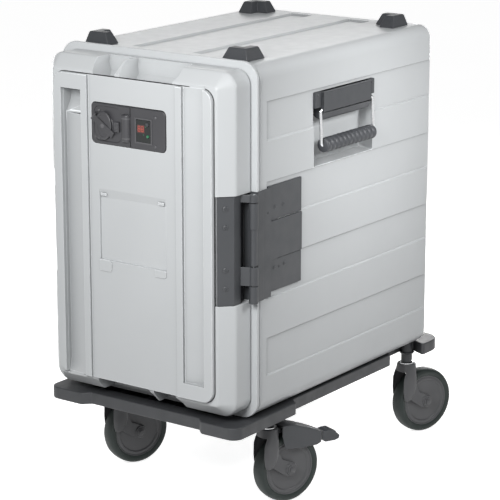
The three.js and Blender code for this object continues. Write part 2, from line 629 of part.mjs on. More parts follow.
function inletLid() {
  const disc = prism(ellipse(LID.x, LID.z, LID.width / 2, LID.height / 2), 'y', LID_FRONT, BEZEL_FRONT - GAP, 8);
  const strap = box(-22, 26, LID_FRONT - 2, LID_FRONT + 1, -5.5, 5.5);
  const arm = box(-26, -14, LID_FRONT, LID_FRONT + 3, -4, 4);
  const barrel = rod(2.2, -4.2, 4.2, 12).translate([-26, -73.5, 0]);
  return join(disc, onLid(join(strap, arm, barrel)));
}

const BUTTONS = [
  { name: 'power_button', x: 35.6, z: 692, radius: 3.4, look: LOOK.dark },
  { name: 'set_button', x: 36.4, z: 671.6, radius: 2.6, look: LOOK.green },
];

function displayModule() {
  const { x, z, width, height } = DISPLAY;
  const block = box(x - width / 2, x + width / 2, -72, -52, z - height / 2, z + height / 2);
  return cut(block, ...BUTTONS.map((b) => barY(b.x, b.z, b.radius + GAP, -90, -64, 14)));
}

piece('control_bezel', LOOK.dark, controlBezel());
piece('inlet_socket', LOOK.dark, inletSocket());
piece('inlet_lid', LOOK.dark, inletLid());
piece('display_module', LOOK.screen, displayModule());
for (const { name, x, z, radius, look } of BUTTONS) {
  piece(name, look, barY(x, z, radius, -73.2, -66, 14));
}

// ---------------------------------------------------------------- air heater in the door
const WELL_FLOOR = -4.5 - HEATER.depth;

function heaterCover() {
  const { z, half, halfHeight } = HEATER;
  let sheet = box(-half + GAP, half - GAP, -6.8, -4.8, z - halfHeight + GAP, z + halfHeight - GAP);
  for (let i = -3; i <= 3; i += 1) {
    const reach = Math.sqrt(45 ** 2 - (i * 12) ** 2);
    sheet = cut(sheet, box(-reach, reach, -10, 0, z + i * 12 - 3, z + i * 12 + 3));
  }
  for (const side of [-1, 1]) {
    for (let i = 0; i < 3; i += 1) {
      const at = z + side * (78 + i * 10);
      sheet = cut(sheet, box(-70, 70, -10, 0, at - 2.5, at + 2.5));
    }
  }
  return sheet;
}

function fanRotor() {
  const { z, fan } = HEATER;
  const disc = barY(0, z, fan, -29, -27, 24);
  const hub = barY(0, z, 12, -29, -12, 16);
  const blades = Array.from({ length: 8 }, (_, i) =>
    box(20, fan - 2, -27.5, -13, -1, 1).rotate([0, 360 * i / 8, 0]).translate([0, 0, z]));
  return cut(join(disc, hub, ...blades), barY(0, z, 3 + GAP, -40, -14, 12));
}

function fanMotor() {
  const { z } = HEATER;
  return join(barY(0, z, 24, WELL_FLOOR + GAP, -30, 24), barY(0, z, 3, -31, -14.5, 12));
}

function heatingRing() {
  const ring = [];
  for (let i = 0; i <= 8; i += 1) {
    const angle = -2 * Math.PI * i / 8;
    ring.push([64 + 4 * Math.cos(angle), 4 * Math.sin(angle)]);
  }
  return turned(ring.reverse(), 32).rotate([90, 0, 0]).translate([0, -20, HEATER.z]);
}

piece('heater_cover', LOOK.steel, heaterCover());
piece('fan_motor', LOOK.steel, fanMotor());
piece('fan_rotor', LOOK.steel, fanRotor());
piece('heating_ring', LOOK.steel, heatingRing());

// ---------------------------------------------------------------- trolley
function trolleyFrame() {
  const right = [
    [119, DECK_FRONT + 14], [133, DECK_FRONT], [BUMPER_HALF - 20, DECK_FRONT], [BUMPER_HALF - 6, DECK_FRONT + 6],
    [BUMPER_HALF, DECK_FRONT + 20], [BUMPER_HALF, 118], [RAIL_HALF, 132], [RAIL_HALF, 455], [160, 487],
    [160, 546], [178, 562], [BUMPER_HALF, 546], [BUMPER_HALF, DECK_BACK - 30], [BUMPER_HALF - 9, DECK_BACK - 9],
    [BUMPER_HALF - 30, DECK_BACK], [133, DECK_BACK], [119, DECK_BACK - 14],
  ];
  const left = right.map(([x, y]) => [-x, y]).reverse();
  let frame = prism([...right, ...left], 'z', DECK_BOTTOM, DECK_TOP);
  const inner = RAIL_HALF - RAIL_WIDTH - 10;
  frame = cut(frame, box(-inner, inner, DECK_FRONT + 32, DECK_BACK - 32, DECK_BOTTOM + TRAY_FLOOR, DECK_TOP + 5));
  for (const y of [CASTER.front, CASTER.back]) {
    for (const x of [-CASTER.offset, CASTER.offset]) {
      frame = join(frame, rod(10.5, 145, 176, 20).translate([x, y, 0]));
    }
  }
  for (const y of [CASTER.front, CASTER.back]) {
    for (const x of [-CASTER.offset, CASTER.offset]) {
      frame = cut(frame, rod(6 + GAP, 100, 173, 16).translate([x, y, 0]));
    }
  }
  return frame;
}

piece('trolley_frame', LOOK.frame, trolleyFrame());

// Caster pieces are drawn with the swivel axis on z, the axle along x and the trail towards +y.
const alongX = (body) => body.rotate([0, 90, 0]);
const atAxle = (body) => body.translate([0, CASTER.trail, CASTER.radius]);

function casterFork(braked) {
  const { leg, legThick, trail, radius, axle } = CASTER;
  const outline = [
    [-17, 140], [-21, 128], [-22, 90], [-15, 77], [5, 67], [22, 54], [32, 49.5], [42, 49.5], [49, 56],
    [50.5, 64], [46, 73], [34, 77], [18, 84], [13, 96], [13, 118], [16, 140],
  ];
  const legs = [-leg - legThick, leg].map((x) => prism(outline, 'x', x, x + legThick));
  const crown = box(-leg - legThick, leg + legThick, -17, 14, 128.5, 140);
  const head = rod(16, 128.5, 143, 24);
  let fork = join(...legs, crown, head);
  if (braked) {
    const lug = box(-11, 11, 10, 27, 130, 140.5);
    fork = cut(join(fork, lug), alongX(rod(2.6 + GAP, -30, 30, 12)).translate([0, 21, 135.5]));
  }
  const bore = alongX(rod(axle + GAP, -40, 40)).translate([0, trail, radius]);
  return cut(fork, bore, rod(6 + GAP, 100, 150, 16));
}

function brakePedal() {
  const side = [
    [17.5, 145.5], [17.5, 126], [24, 101], [92, 97], [104, 104], [116, 95], [145, 96], [147.5, 100],
    [132, 116], [114, 115], [104, 120], [88, 127], [62, 137.5], [40, 144.5],
  ];
  const hood = prism(side, 'x', -20.5, 20.5);
  const inside = [
    [10, 142.5], [10, 90], [101, 90], [101, 104], [86, 122], [60, 133], [40, 140.5], [28, 142.5],
  ];
  const room = prism(inside, 'x', -17.8, 17.8);
  const waist = join(box(-40, -13, 106, 160, 50, 150), box(13, 40, 106, 160, 50, 150));
  const pin = alongX(rod(2.6, -18.5, 18.5, 12)).translate([0, 21, 135.5]);
  const legRoom = box(-40, 40, 0, 17.4, 50, 160);
  return cut(join(cut(hood, room, waist), pin), legRoom);
}

function casterWheel() {
  const { axle, rim } = CASTER;
  const half = [[axle + GAP, 14.5], [12, 14.5], [14, 11.5], [40, 11.5], [43, 13.5], [rim - GAP, 13.5]];
  const other = half.map(([r, h]) => [r, -h]).reverse();
  const profile = [...half, ...other].reverse();
  profile.push(profile[0]);
  return atAxle(alongX(turned(profile, 32)));
}

function casterTyre() {
  const { rim, radius, tread } = CASTER;
  const half = [[rim, 13.5], [radius - 5, tread / 2], [radius - 1.2, tread / 2 - 3.5], [radius, tread / 2 - 8]];
  const other = half.map(([r, h]) => [r, -h]).reverse();
  const profile = [...half, ...other].reverse();
  profile.push(profile[0]);
  return atAxle(alongX(turned(profile, 32)));
}

function casterAxle() {
  const { axle, leg, legThick } = CASTER;
  const face = leg + legThick + GAP;
  const profile = [[0, -face - 3], [6.5, -face - 3], [8, -face], [axle, -face], [axle, face], [8, face],
    [6.5, face + 3], [0, face + 3]];
  return atAxle(alongX(turned(profile, 16)));
}

for (const [end, y] of [['front', CASTER.front], ['back', CASTER.back]]) {
  for (const [side, x] of [['left', -CASTER.offset], ['right', CASTER.offset]]) {
    const braked = end === 'front';
    const caster = new THREE.Group();
    caster.position.set(x, y, 0);
    caster.rotation.z = THREE.MathUtils.degToRad(CASTER.turn);
    carrier.add(caster);
    piece(`caster_stem_${end}_${side}`, LOOK.steel, rod(6, 128, 172, 16), caster);
    piece(`caster_fork_${end}_${side}`, LOOK.rim, casterFork(braked), caster);
    piece(`caster_axle_${end}_${side}`, LOOK.steel, casterAxle(), caster);
    piece(`caster_wheel_${end}_${side}`, LOOK.rim, casterWheel(), caster);
    piece(`caster_tyre_${end}_${side}`, LOOK.tyre, casterTyre(), caster);
    if (braked) piece(`brake_pedal_${end}_${side}`, LOOK.dark, brakePedal(), caster);
  }
}

// ---------------------------------------------------------------- footprint centred on the origin
carrier.updateMatrixWorld(true);
const extent = new THREE.Box3().setFromObject(carrier, true);
const middle = extent.getCenter(new THREE.Vector3());
carrier.position.set(-middle.x, -middle.y, 0);

export default carrier;
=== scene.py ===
"""Looks of the insulated food carrier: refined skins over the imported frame, in metres, +Z up."""
import json
import math

import bmesh
import bpy
from mathutils import Matrix, Vector


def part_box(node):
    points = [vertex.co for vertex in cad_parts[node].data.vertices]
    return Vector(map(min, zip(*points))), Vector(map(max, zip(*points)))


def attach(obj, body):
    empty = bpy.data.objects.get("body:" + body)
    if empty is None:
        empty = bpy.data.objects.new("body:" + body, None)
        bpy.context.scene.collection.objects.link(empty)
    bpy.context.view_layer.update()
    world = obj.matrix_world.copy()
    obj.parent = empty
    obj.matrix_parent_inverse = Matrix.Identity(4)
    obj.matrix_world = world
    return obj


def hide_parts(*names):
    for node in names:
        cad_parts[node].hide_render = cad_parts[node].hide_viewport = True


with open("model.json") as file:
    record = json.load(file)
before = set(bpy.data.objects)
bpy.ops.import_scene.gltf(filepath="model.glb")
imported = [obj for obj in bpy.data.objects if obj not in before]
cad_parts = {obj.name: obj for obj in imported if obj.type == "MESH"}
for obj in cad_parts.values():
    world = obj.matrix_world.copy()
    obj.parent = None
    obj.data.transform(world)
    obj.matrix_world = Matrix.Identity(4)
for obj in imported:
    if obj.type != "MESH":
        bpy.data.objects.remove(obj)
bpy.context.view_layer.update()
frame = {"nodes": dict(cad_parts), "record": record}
scene = bpy.context.scene
NODES = frame["nodes"]
BODY_OF = {node: body for body, members in frame["record"]["behaviour"]["bodies"].items() for node in members}
SLOT_OF = {entry["node"]: entry["material_slot"] for entry in frame["record"]["subparts"]}

# Carrier frame: millimetres, x = 0 on the middle plane, y = 0 on the flange's front, z = 0 on the floor.
MM = 0.001
FLANGE_LOW, FLANGE_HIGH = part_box("front_flange")
ORIGIN = Vector(((FLANGE_LOW.x + FLANGE_HIGH.x) / 2, FLANGE_LOW.y, 0.0))
TO_ROW = Matrix.Translation(ORIGIN) @ Matrix.Diagonal((MM, MM, MM, 1.0))


def at(x, y, z):
    """Point of the carrier frame in the row's frame."""
    return TO_ROW @ Vector((x, y, z))


# ---------------------------------------------------------------- camera, lights and floor
CAMERA_SPOT = at(2204.4, -2792.1, 1381.1)
CAMERA_AIM = at(14.95, 250.0, 405.6)
FOCAL_LENGTH = 152.93


def add_camera():
    data = bpy.data.cameras.new("camera")
    data.lens = FOCAL_LENGTH
    data.sensor_width = 36.0
    data.clip_end = 50.0
    camera = bpy.data.objects.new("camera", data)
    camera.location = CAMERA_SPOT
    camera.rotation_euler = (CAMERA_AIM - CAMERA_SPOT).to_track_quat("-Z", "Y").to_euler()
    scene.collection.objects.link(camera)
    scene.camera = camera


def add_softbox(name, spot, aim, size, beam, watts):
    data = bpy.data.lights.new(name, "AREA")
    data.shape = "RECTANGLE"
    data.size, data.size_y = size
    data.energy = watts
    data.spread = math.radians(beam)
    light = bpy.data.objects.new(name, data)
    light.location = spot
    light.rotation_euler = (Vector(aim) - Vector(spot)).to_track_quat("-Z", "Y").to_euler()
    light.visible_camera = False
    scene.collection.objects.link(light)


WORLD_FILL = 0.25
SOFTBOXES = [
    # name, place, aim, size, beam in degrees, watts
    ("front_softbox", (0.45, -1.45, 1.2), (0.0, -0.35, 0.45), (0.6, 0.6), 180, 22.5),
    ("right_softbox", (0.95, 0.08, 1.0), (0.2, 0.05, 0.56), (0.3, 0.3), 75, 1.4),
    ("overhead_softbox", (0.35, 0.2, 2.3), (0, 0.1, 0.8), (0.6, 0.6), 180, 2.0),
    ("roof_softbox", (-1.5, 2.0, 1.75), (0, 0, 0.75), (1.2, 1.0), 180, 9),
    ("rear_softbox", (-0.6, 2.2, 0.6), (0.0, 0.3, 0.4), (0.7, 0.7), 180, 18),
    ("left_softbox", (-2.1, 0.6, 0.7), (-0.2, 0.2, 0.4), (0.9, 0.9), 180, 10),
]


def add_lighting():
    for softbox in SOFTBOXES:
        add_softbox(*softbox)
    world = bpy.data.worlds.new("studio")
    world.use_nodes = True
    background = world.node_tree.nodes["Background"]
    background.inputs["Color"].default_value = (1.0, 1.0, 1.0, 1.0)
    background.inputs["Strength"].default_value = WORLD_FILL
    scene.world = world
    scene.view_settings.view_transform = "Standard"


# ---------------------------------------------------------------- materials
class Graph:
    """Short names for building a node material."""

    def __init__(self, name):
        self.material = bpy.data.materials.new(name)
        self.material.use_nodes = True
        self.tree = self.material.node_tree
        self.shader = self.tree.nodes["Principled BSDF"]
        self.coords = self.tree.nodes.new("ShaderNodeTexCoord").outputs["Object"]

    def link(self, source, target):
        self.tree.links.new(source, target)

    def noise(self, scale, detail=2.0, roughness=0.5, stretch=None):
        node = self.tree.nodes.new("ShaderNodeTexNoise")
        node.inputs["Scale"].default_value = scale
        node.inputs["Detail"].default_value = detail
        node.inputs["Roughness"].default_value = roughness
        source = self.coords
        if stretch:
            mapping = self.tree.nodes.new("ShaderNodeMapping")
            mapping.inputs["Scale"].default_value = stretch
            self.link(self.coords, mapping.inputs["Vector"])
            source = mapping.outputs["Vector"]
        self.link(source, node.inputs["Vector"])
        return node.outputs["Fac"]

    def spread(self, value, low, high, start=0.3, stop=0.7):
        node = self.tree.nodes.new("ShaderNodeMapRange")
        node.inputs["From Min"].default_value = start
        node.inputs["From Max"].default_value = stop
        node.inputs["To Min"].default_value = low
        node.inputs["To Max"].default_value = high
        self.link(value, node.inputs["Value"])
        return node.outputs["Result"]

    def blend(self, factor, first, second):
        node = self.tree.nodes.new("ShaderNodeMix")
        node.data_type = "RGBA"
        sockets = [s for s in node.inputs if s.type == "RGBA"]
        for socket, value in zip(sockets, (first, second)):
            if isinstance(value, tuple):
                socket.default_value = (*value, 1.0)
            else:
                self.link(value, socket)
        self.link(factor, node.inputs["Factor"])
        return [s for s in node.outputs if s.type == "RGBA"][0]

    def crevice(self, reach, inside=False):
        """1 on open surface, lower in a crevice; with inside, lower near an outer edge."""
        node = self.tree.nodes.new("ShaderNodeAmbientOcclusion")
        node.samples = 6
        node.inside = inside
        node.only_local = True
        node.inputs["Distance"].default_value = reach
        return node.outputs["AO"]

    def bump(self, height, strength, distance):
        node = self.tree.nodes.new("ShaderNodeBump")
        node.inputs["Strength"].default_value = strength
        node.inputs["Distance"].default_value = distance
        self.link(height, node.inputs["Height"])
        self.link(node.outputs["Normal"], self.shader.inputs["Normal"])


MOTTLE_SCALE = 9
# Reach of the painted shade in hollows.
HOLLOW_SHADE_REACH = 0.035


def moulded(name, light, dark, rough, grain=1400, bump=0.12, edge=0.0, crevice_shade=0.0, reach=0.006, hollow=1.0,
            rim=0.0012):
    """Moulded surface: slow mottling, fine grain, a painted highlight along outer edges, painted shade in
    crevices and hollows.
    """
    g = Graph(name)
    colour = g.blend(g.spread(g.noise(MOTTLE_SCALE, 4.0), 0.0, 1.0), light, dark)
    speck = g.noise(grain, 2.0)
    colour = g.blend(g.spread(speck, 0.0, 0.35), colour, dark)
    # Painted shade: the colour darkens in narrow crevices and seams, towards a dim copy of the dark tone.
    if crevice_shade:
        shade = g.spread(g.crevice(reach), crevice_shade, 0.0, 0.3, 0.9)
        colour = g.blend(shade, colour, tuple(0.45 * c for c in dark))
    # Painted shade: the colour darkens in wider hollows such as pits, channels and scoops.
    if hollow < 1.0:
        depth = g.spread(g.crevice(HOLLOW_SHADE_REACH), 1.0, 0.0, 0.35, 0.95)
        colour = g.blend(depth, colour, tuple(hollow * c for c in dark))
    # Painted highlight: the colour turns nearly white along outer edges, standing in for the highlights on
    # the rounded edges.
    if edge:
        edge_highlight_mask = g.spread(g.crevice(rim, True), edge, 0.0, 0.25, 0.8)
        colour = g.blend(edge_highlight_mask, colour, tuple(min(1.0, 1.6 * c + 0.06) for c in light))
    g.link(colour, g.shader.inputs["Base Color"])
    sheen = g.noise(5 * MOTTLE_SCALE, 3.0)
    g.link(g.spread(sheen, rough - 0.05, rough + 0.07), g.shader.inputs["Roughness"])
    g.bump(speck, bump, 0.0003)
    return g.material


def brushed(name, light, dark, rough, stretch):
    """Steel with fine drawn lines along one axis."""
    g = Graph(name)
    lines = g.noise(60, 6.0, 0.7, stretch)
    g.link(g.blend(g.spread(lines, 0.0, 1.0), light, dark), g.shader.inputs["Base Color"])
    g.link(g.spread(lines, rough - 0.06, rough + 0.1), g.shader.inputs["Roughness"])
    g.shader.inputs["Metallic"].default_value = 1.0
    g.bump(lines, 0.05, 0.0002)
    return g.material


def glowing(name, colour, glow, strength):
    g = Graph(name)
    g.link(g.blend(g.spread(g.noise(700, 1.0), 0.0, 1.0), colour, glow), g.shader.inputs["Base Color"])
    g.shader.inputs["Emission Color"].default_value = (*glow, 1.0)
    g.shader.inputs["Emission Strength"].default_value = strength
    g.shader.inputs["Roughness"].default_value = 0.25
    return g.material


# In these looks, edge (with rim) paints a pale highlight along outer edges; the crevice darkening (with
# reach) and hollow paint shade into crevices and hollows.
LOOKS = {
    "shell": moulded("shell_grey", (0.505, 0.522, 0.532), (0.485, 0.502, 0.512), 0.34, bump=0.05,
                     edge=1.0, crevice_shade=1.0, hollow=0.62, rim=0.002),
    "liner": moulded("liner_grey", (0.60, 0.62, 0.63), (0.56, 0.58, 0.59), 0.5, bump=0.05, crevice_shade=0.4),
    "foam": moulded("foam_cream", (0.80, 0.74, 0.50), (0.70, 0.63, 0.42), 0.95, grain=420, bump=0.6),
    "dark": moulded("anthracite", (0.046, 0.049, 0.054), (0.038, 0.041, 0.046), 0.46, 1700, 0.16,
                    edge=0.5, crevice_shade=0.6),
    "hinge": moulded("hinge_anthracite", (0.055, 0.058, 0.063), (0.046, 0.049, 0.054), 0.46, 1700, 0.16,
                     crevice_shade=0.8),
    "frame": moulded("trolley_anthracite", (0.040, 0.042, 0.046), (0.032, 0.034, 0.037), 0.52, bump=0.2,
                     edge=0.45),
    "rubber": moulded("seal_rubber", (0.03, 0.03, 0.032), (0.02, 0.02, 0.022), 0.75, bump=0.2),
    "tyre": moulded("tyre_rubber", (0.010, 0.018, 0.016), (0.007, 0.013, 0.011), 0.6, grain=1100, bump=0.25),
    "rim": moulded("rim_nylon", (0.082, 0.083, 0.088), (0.066, 0.067, 0.071), 0.42, bump=0.12,
                   edge=0.4, crevice_shade=0.5),
    "steel": brushed("polished_steel", (0.78, 0.79, 0.80), (0.66, 0.67, 0.68), 0.2, (1.0, 30.0, 1.0)),
    "screen": moulded("screen_window", (0.012, 0.016, 0.015), (0.008, 0.01, 0.01), 0.12, bump=0.01),
    "green": glowing("green_button", (0.02, 0.10, 0.05), (0.04, 0.20, 0.10), 0.12),
    "led_red": glowing("led_segments", (0.30, 0.05, 0.03), (0.55, 0.10, 0.06), 0.4),
    "grip": moulded("grip_rubber", (0.055, 0.058, 0.065), (0.042, 0.045, 0.051), 0.5, 1500, 0.25,
                    edge=0.6, crevice_shade=0.9, reach=0.004),
    "panel": moulded("panel_anthracite", (0.052, 0.052, 0.057), (0.040, 0.040, 0.044), 0.4, bump=0.1,
                     edge=0.6, crevice_shade=0.8, reach=0.003),
    "tint": moulded("display_tint", (0.13, 0.045, 0.04), (0.09, 0.03, 0.03), 0.2, bump=0.01),
    # Near black for the painted shadow ring round the panel.
    "black": moulded("recess_shadow_black", (0.012, 0.012, 0.013), (0.008, 0.008, 0.009), 0.6),
}


# ---------------------------------------------------------------- mesh tools
def new_object(name, bm):
    """Object made from the mesh, with its faces looking outwards."""
    bmesh.ops.recalc_face_normals(bm, faces=bm.faces)
    mesh = bpy.data.meshes.new(name)
    bm.to_mesh(mesh)
    bm.free()
    obj = bpy.data.objects.new(name, mesh)
    scene.collection.objects.link(obj)
    return obj


AXES = {
    "x": lambda u, v, w: (w, u, v),
    "y": lambda u, v, w: (u, w, v),
    "z": lambda u, v, w: (u, v, w),
}


def loft(sections, name="tool", closed=False):
    """Skin through rings of equal length, capped at both ends unless it closes on itself."""
    bm = bmesh.new()
    rings = [[bm.verts.new(p) for p in ring] for ring in sections]
    count = len(rings[0])
    pairs = list(zip(rings, rings[1:])) + ([(rings[-1], rings[0])] if closed else [])
    for low, high in pairs:
        for i in range(count):
            bm.faces.new((low[i], low[(i + 1) % count], high[(i + 1) % count], high[i]))
    if not closed:
        bm.faces.new(rings[0])
        bm.faces.new(rings[-1])
    return new_object(name, bm)


def prism(outline, axis, start, stop, name="tool"):
    """Outline drawn out along an axis."""
    place = AXES[axis]
    return loft([[place(u, v, w) for u, v in outline] for w in (start, stop)], name)


def box(x0, x1, y0, y1, z0, z1, name="tool"):
    return prism([(x0, y0), (x1, y0), (x1, y1), (x0, y1)], "z", z0, z1, name)


def arc(cu, cv, radius, start, stop, steps):
    """Points on an arc, in degrees."""
    angles = [math.radians(start + (stop - start) * i / steps) for i in range(steps + 1)]
    return [(cu + radius * math.cos(a), cv + radius * math.sin(a)) for a in angles]


def rounded(u0, u1, v0, v1, r, steps=8):
    """Rectangle with round corners."""
    return (arc(u1 - r, v0 + r, r, -90, 0, steps) + arc(u1 - r, v1 - r, r, 0, 90, steps)
            + arc(u0 + r, v1 - r, r, 90, 180, steps) + arc(u0 + r, v0 + r, r, 180, 270, steps))


def turn(axis, centre, r, h, a):
    """Point at radius r, height h and angle a about an axis through the centre."""
    return Vector(AXES[axis](r * math.cos(a), r * math.sin(a), h)) + Vector(centre)


def lathe(profile, axis, centre, steps=48):
    """Ring: a closed (radius, height) profile turned about the axis."""
    angles = [2 * math.pi * i / steps for i in range(steps)]
    return loft([[turn(axis, centre, r, h, a) for r, h in profile] for a in angles], closed=True)


def spun(profile, axis, centre, steps=48):
    """Solid of revolution through (radius, height) pairs, flat at both ends."""
    angles = [2 * math.pi * i / steps for i in range(steps)]
    return loft([[turn(axis, centre, r, h, a) for a in angles] for r, h in profile])


def rod(radius, axis, start, stop, centre, edge=0.4, steps=32):
    """Round bar with a chamfer at each end."""
    profile = [(radius, start), (radius, stop)]
    if edge:
        inner = radius - edge
        profile = [(inner, start), (radius, start + edge), (radius, stop - edge), (inner, stop)]
    return spun(profile, axis, centre, steps)


def tube(points, radius, steps=14):
    """Round bar swept along a polyline."""
    points = [Vector(p) for p in points]
    rings = []
    side = None
    for i, point in enumerate(points):
        ahead = (points[min(i + 1, len(points) - 1)] - points[max(i - 1, 0)]).normalized()
        if side is None:
            side = ahead.orthogonal().normalized()
        side = (side - ahead * side.dot(ahead)).normalized()
        other = ahead.cross(side)
        rings.append([point + radius * (side * math.cos(a) + other * math.sin(a))
                      for a in (2 * math.pi * k / steps for k in range(steps))])
    return loft(rings)


def settle(obj):
    """Applies the modifiers."""
    graph = bpy.context.evaluated_depsgraph_get()
    mesh = bpy.data.meshes.new_from_object(obj.evaluated_get(graph))
    obj.modifiers.clear()
    old, obj.data = obj.data, mesh
    bpy.data.meshes.remove(old)
    return obj


def combine(base, tools, operation):
    """Boolean that uses the tools up."""
    for tool in tools:
        modifier = base.modifiers.new("combine", "BOOLEAN")
        modifier.operation = operation
        modifier.solver = "EXACT"
        modifier.object = tool
    settle(base)
    for tool in tools:
        bpy.data.objects.remove(tool)
    return base


def carve(base, *tools):
    return combine(base, tools, "DIFFERENCE")


def weld(base, *tools):
    return combine(base, tools, "UNION")


def gather(first, *rest):
    """Loose pieces as one object."""
    bm = bmesh.new()
    for obj in (first, *rest):
        bm.from_mesh(obj.data)
        bpy.data.objects.remove(obj)
    return new_object("tool", bm)


def soften(obj, width, segments=2, angle=30, shortest=None):
    """Rounds the sharp edges, leaving out those too short to carry the radius."""
    bm = bmesh.new()
    bm.from_mesh(obj.data)
    bmesh.ops.remove_doubles(bm, verts=bm.verts, dist=0.02 * width)
    bmesh.ops.dissolve_limit(bm, angle_limit=math.radians(0.3), verts=bm.verts, edges=bm.edges)
    least = 1.6 * width if shortest is None else shortest
    edges = [e for e in bm.edges if len(e.link_faces) == 2 and e.calc_length() > least
             and e.calc_face_angle() > math.radians(angle)]
    bmesh.ops.bevel(bm, geom=edges, offset=width, offset_type="OFFSET", segments=segments, profile=0.5,
                    affect="EDGES", clamp_overlap=False, miter_outer="ARC")
    bm.to_mesh(obj.data)
    bm.free()
    return obj


def flatten_shading(obj, sharp=40):
    """Even shading on flat faces, with a crease wherever two faces meet at more than the sharp angle."""
    obj.data.shade_smooth()
    obj.data.set_sharp_from_angle(angle=math.radians(sharp))
    modifier = obj.modifiers.new("normals", "WEIGHTED_NORMAL")
    modifier.keep_sharp = True
    modifier.weight = 60
    return settle(obj)


def dress(obj, look):
    obj.data.materials.clear()
    obj.data.materials.append(LOOKS[look])


def piece(obj, name, body, look, replaces=(), local=True, sharp=40):
    """Names a finished mesh, moves it into the row frame and lets it ride on its body."""
    obj.name = name
    if local:
        obj.data.transform(TO_ROW)
    flatten_shading(obj, sharp)
    dress(obj, look)
    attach(obj, body)
    if replaces:
        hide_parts(*replaces)
    return obj


def refine(node):
    """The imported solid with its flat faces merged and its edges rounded."""
    bm = bmesh.new()
    bm.from_mesh(NODES[node].data)
    bmesh.ops.remove_doubles(bm, verts=bm.verts, dist=2e-6)
    bmesh.ops.dissolve_limit(bm, angle_limit=math.radians(1.5), verts=bm.verts, edges=bm.edges)
    obj = soften(new_object(node, bm), 0.8 * MM)
    return piece(obj, f"skin_{node}", BODY_OF[node], SLOT_OF[node], [node], local=False)


FLOOR_REACH = 40.0
FLOOR_GLOW = 0.74


def add_floor():
    """Plain floor that glows enough to read as white, and doesn't light the object from below."""
    floor = box(-FLOOR_REACH, FLOOR_REACH, -FLOOR_REACH, FLOOR_REACH, -0.02, 0.0, "studio_floor")
    g = Graph("studio_floor")
    g.link(g.blend(g.noise(2, 2.0), (0.97, 0.97, 0.97), (0.94, 0.94, 0.94)), g.shader.inputs["Base Color"])
    g.shader.inputs["Roughness"].default_value = 0.9
    g.shader.inputs["Emission Color"].default_value = (1.0, 1.0, 1.0, 1.0)
    g.shader.inputs["Emission Strength"].default_value = FLOOR_GLOW
    floor.data.materials.append(g.material)
    floor.visible_diffuse = False


add_camera()
add_lighting()
for node, obj in NODES.items():
    dress(obj, SLOT_OF[node])
    obj.data.shade_smooth()
    obj.data.set_sharp_from_angle(angle=math.radians(35))

add_floor()

# ---------------------------------------------------------------- box body
BODY_HALF, BODY_LOW, BODY_HIGH, BODY_BACK = 207, 190, 798, 560
RIM_HALF, RIM_LOW, RIM_HIGH = 208.7, 188.7, 800.5
NECK_HALF, NECK_LOW, NECK_HIGH = 205.5, 191.5, 796.5
FLANGE_HALF, FLANGE_FOOT, FLANGE_HEAD = 210, 187.3, 803.5
DOOR_HALF, DOOR_LOW, DOOR_HIGH = 198, 199.3, 791.5
BAND_TOP, BAND_PITCH, BAND_STEP = 734.4, 68.17, 2.6
PLATE_HALF, PLATE_LOW, PLATE_HIGH = 169.6, 227.2, 763.6
MID_Z = (PLATE_LOW + PLATE_HIGH) / 2
SKID_X, SKID_HALF = 140, 20
BEYOND = 2


def band_line(i):
    """Height of the i-th line between the side bands, counted from the top."""
    return BAND_TOP - i * BAND_PITCH


def slab(half, low, high, r, profile, steps=10):
    """Rounded rectangle in x-z swept through (inset, y) pairs."""
    rings = []
    for inset, y in profile:
        outline = rounded(-half + inset, half - inset, low + inset, high - inset, max(r - inset, 2.0), steps)
        rings.append([(u, y, v) for u, v in outline])
    return loft(rings)


def fillet(radius, y, steps):
    """(inset, y) pairs of a rounded edge, from the side to the face on plane y."""
    angles = [math.radians(90 * (steps - i) / steps) for i in range(steps + 1)]
    return [(radius * (1 - math.sin(a)), y - radius * (1 - math.cos(a))) for a in angles]


def mirrored(obj):
    """Copy on the other side of the middle plane."""
    bm = bmesh.new()
    bm.from_mesh(obj.data)
    bmesh.ops.scale(bm, vec=(-1, 1, 1), verts=bm.verts)
    return new_object("tool", bm)


def half_turned(obj):
    """Copy turned half round the middle of the door's front."""
    bm = bmesh.new()
    bm.from_mesh(obj.data)
    bmesh.ops.transform(bm, matrix=Matrix.Translation((0, 0, 2 * MID_Z)) @ Matrix.Diagonal((-1, 1, -1, 1)),
                        verts=bm.verts)
    return new_object("tool", bm)


def band_cutters():
    """Every second band is set back, with a sloping ledge at its foot, on the sides and the back."""
    tools = []
    for i in range(0, 8, 2):
        low, high = band_line(i + 1), band_line(i)

        def ledge(face):
            return [(face - BAND_STEP, low + 3.4), (face + BEYOND, low - 1.6), (face + BEYOND, high),
                    (face - BAND_STEP, high)]

        tools.append(prism(ledge(BODY_HALF), "y", 31.4, 590))
        tools.append(prism([(-x, z) for x, z in ledge(BODY_HALF)], "y", 31.4, 590))
        tools.append(prism(ledge(BODY_BACK), "x", -230, 230))
    return tools


def trough_cutters():
    """Two long, shallow troughs in the roof."""
    trough = [(40, 799), (44.2, 794), (86.5, 794), (90, 799)]
    return [prism([(side * x, z) for x, z in trough], "y", 46, 530) for side in (-1, 1)]


def handle_pocket():
    """Right-hand handle pocket, narrower towards its floor."""
    levels = ((183.2, 176, 350, 603, 706, 5), (192, 173.5, 354, 600, 722, 4), (209, 171, 358, 597.8, 731, 2))
    return loft([[(x, y, z) for y, z in rounded(y0, y1, z0, z1, r, 4)] for x, y0, y1, z0, z1, r in levels])


def body_lining():
    """Room inside the skin, kept clear of the handle pockets."""
    inner = slab(202, 195, 789, 20, [(0, -10), (0, 555)], 8)
    return carve(inner, box(179.5, 215, 167, 362, 594, 735), box(-215, -179.5, 167, 362, 594, 735))


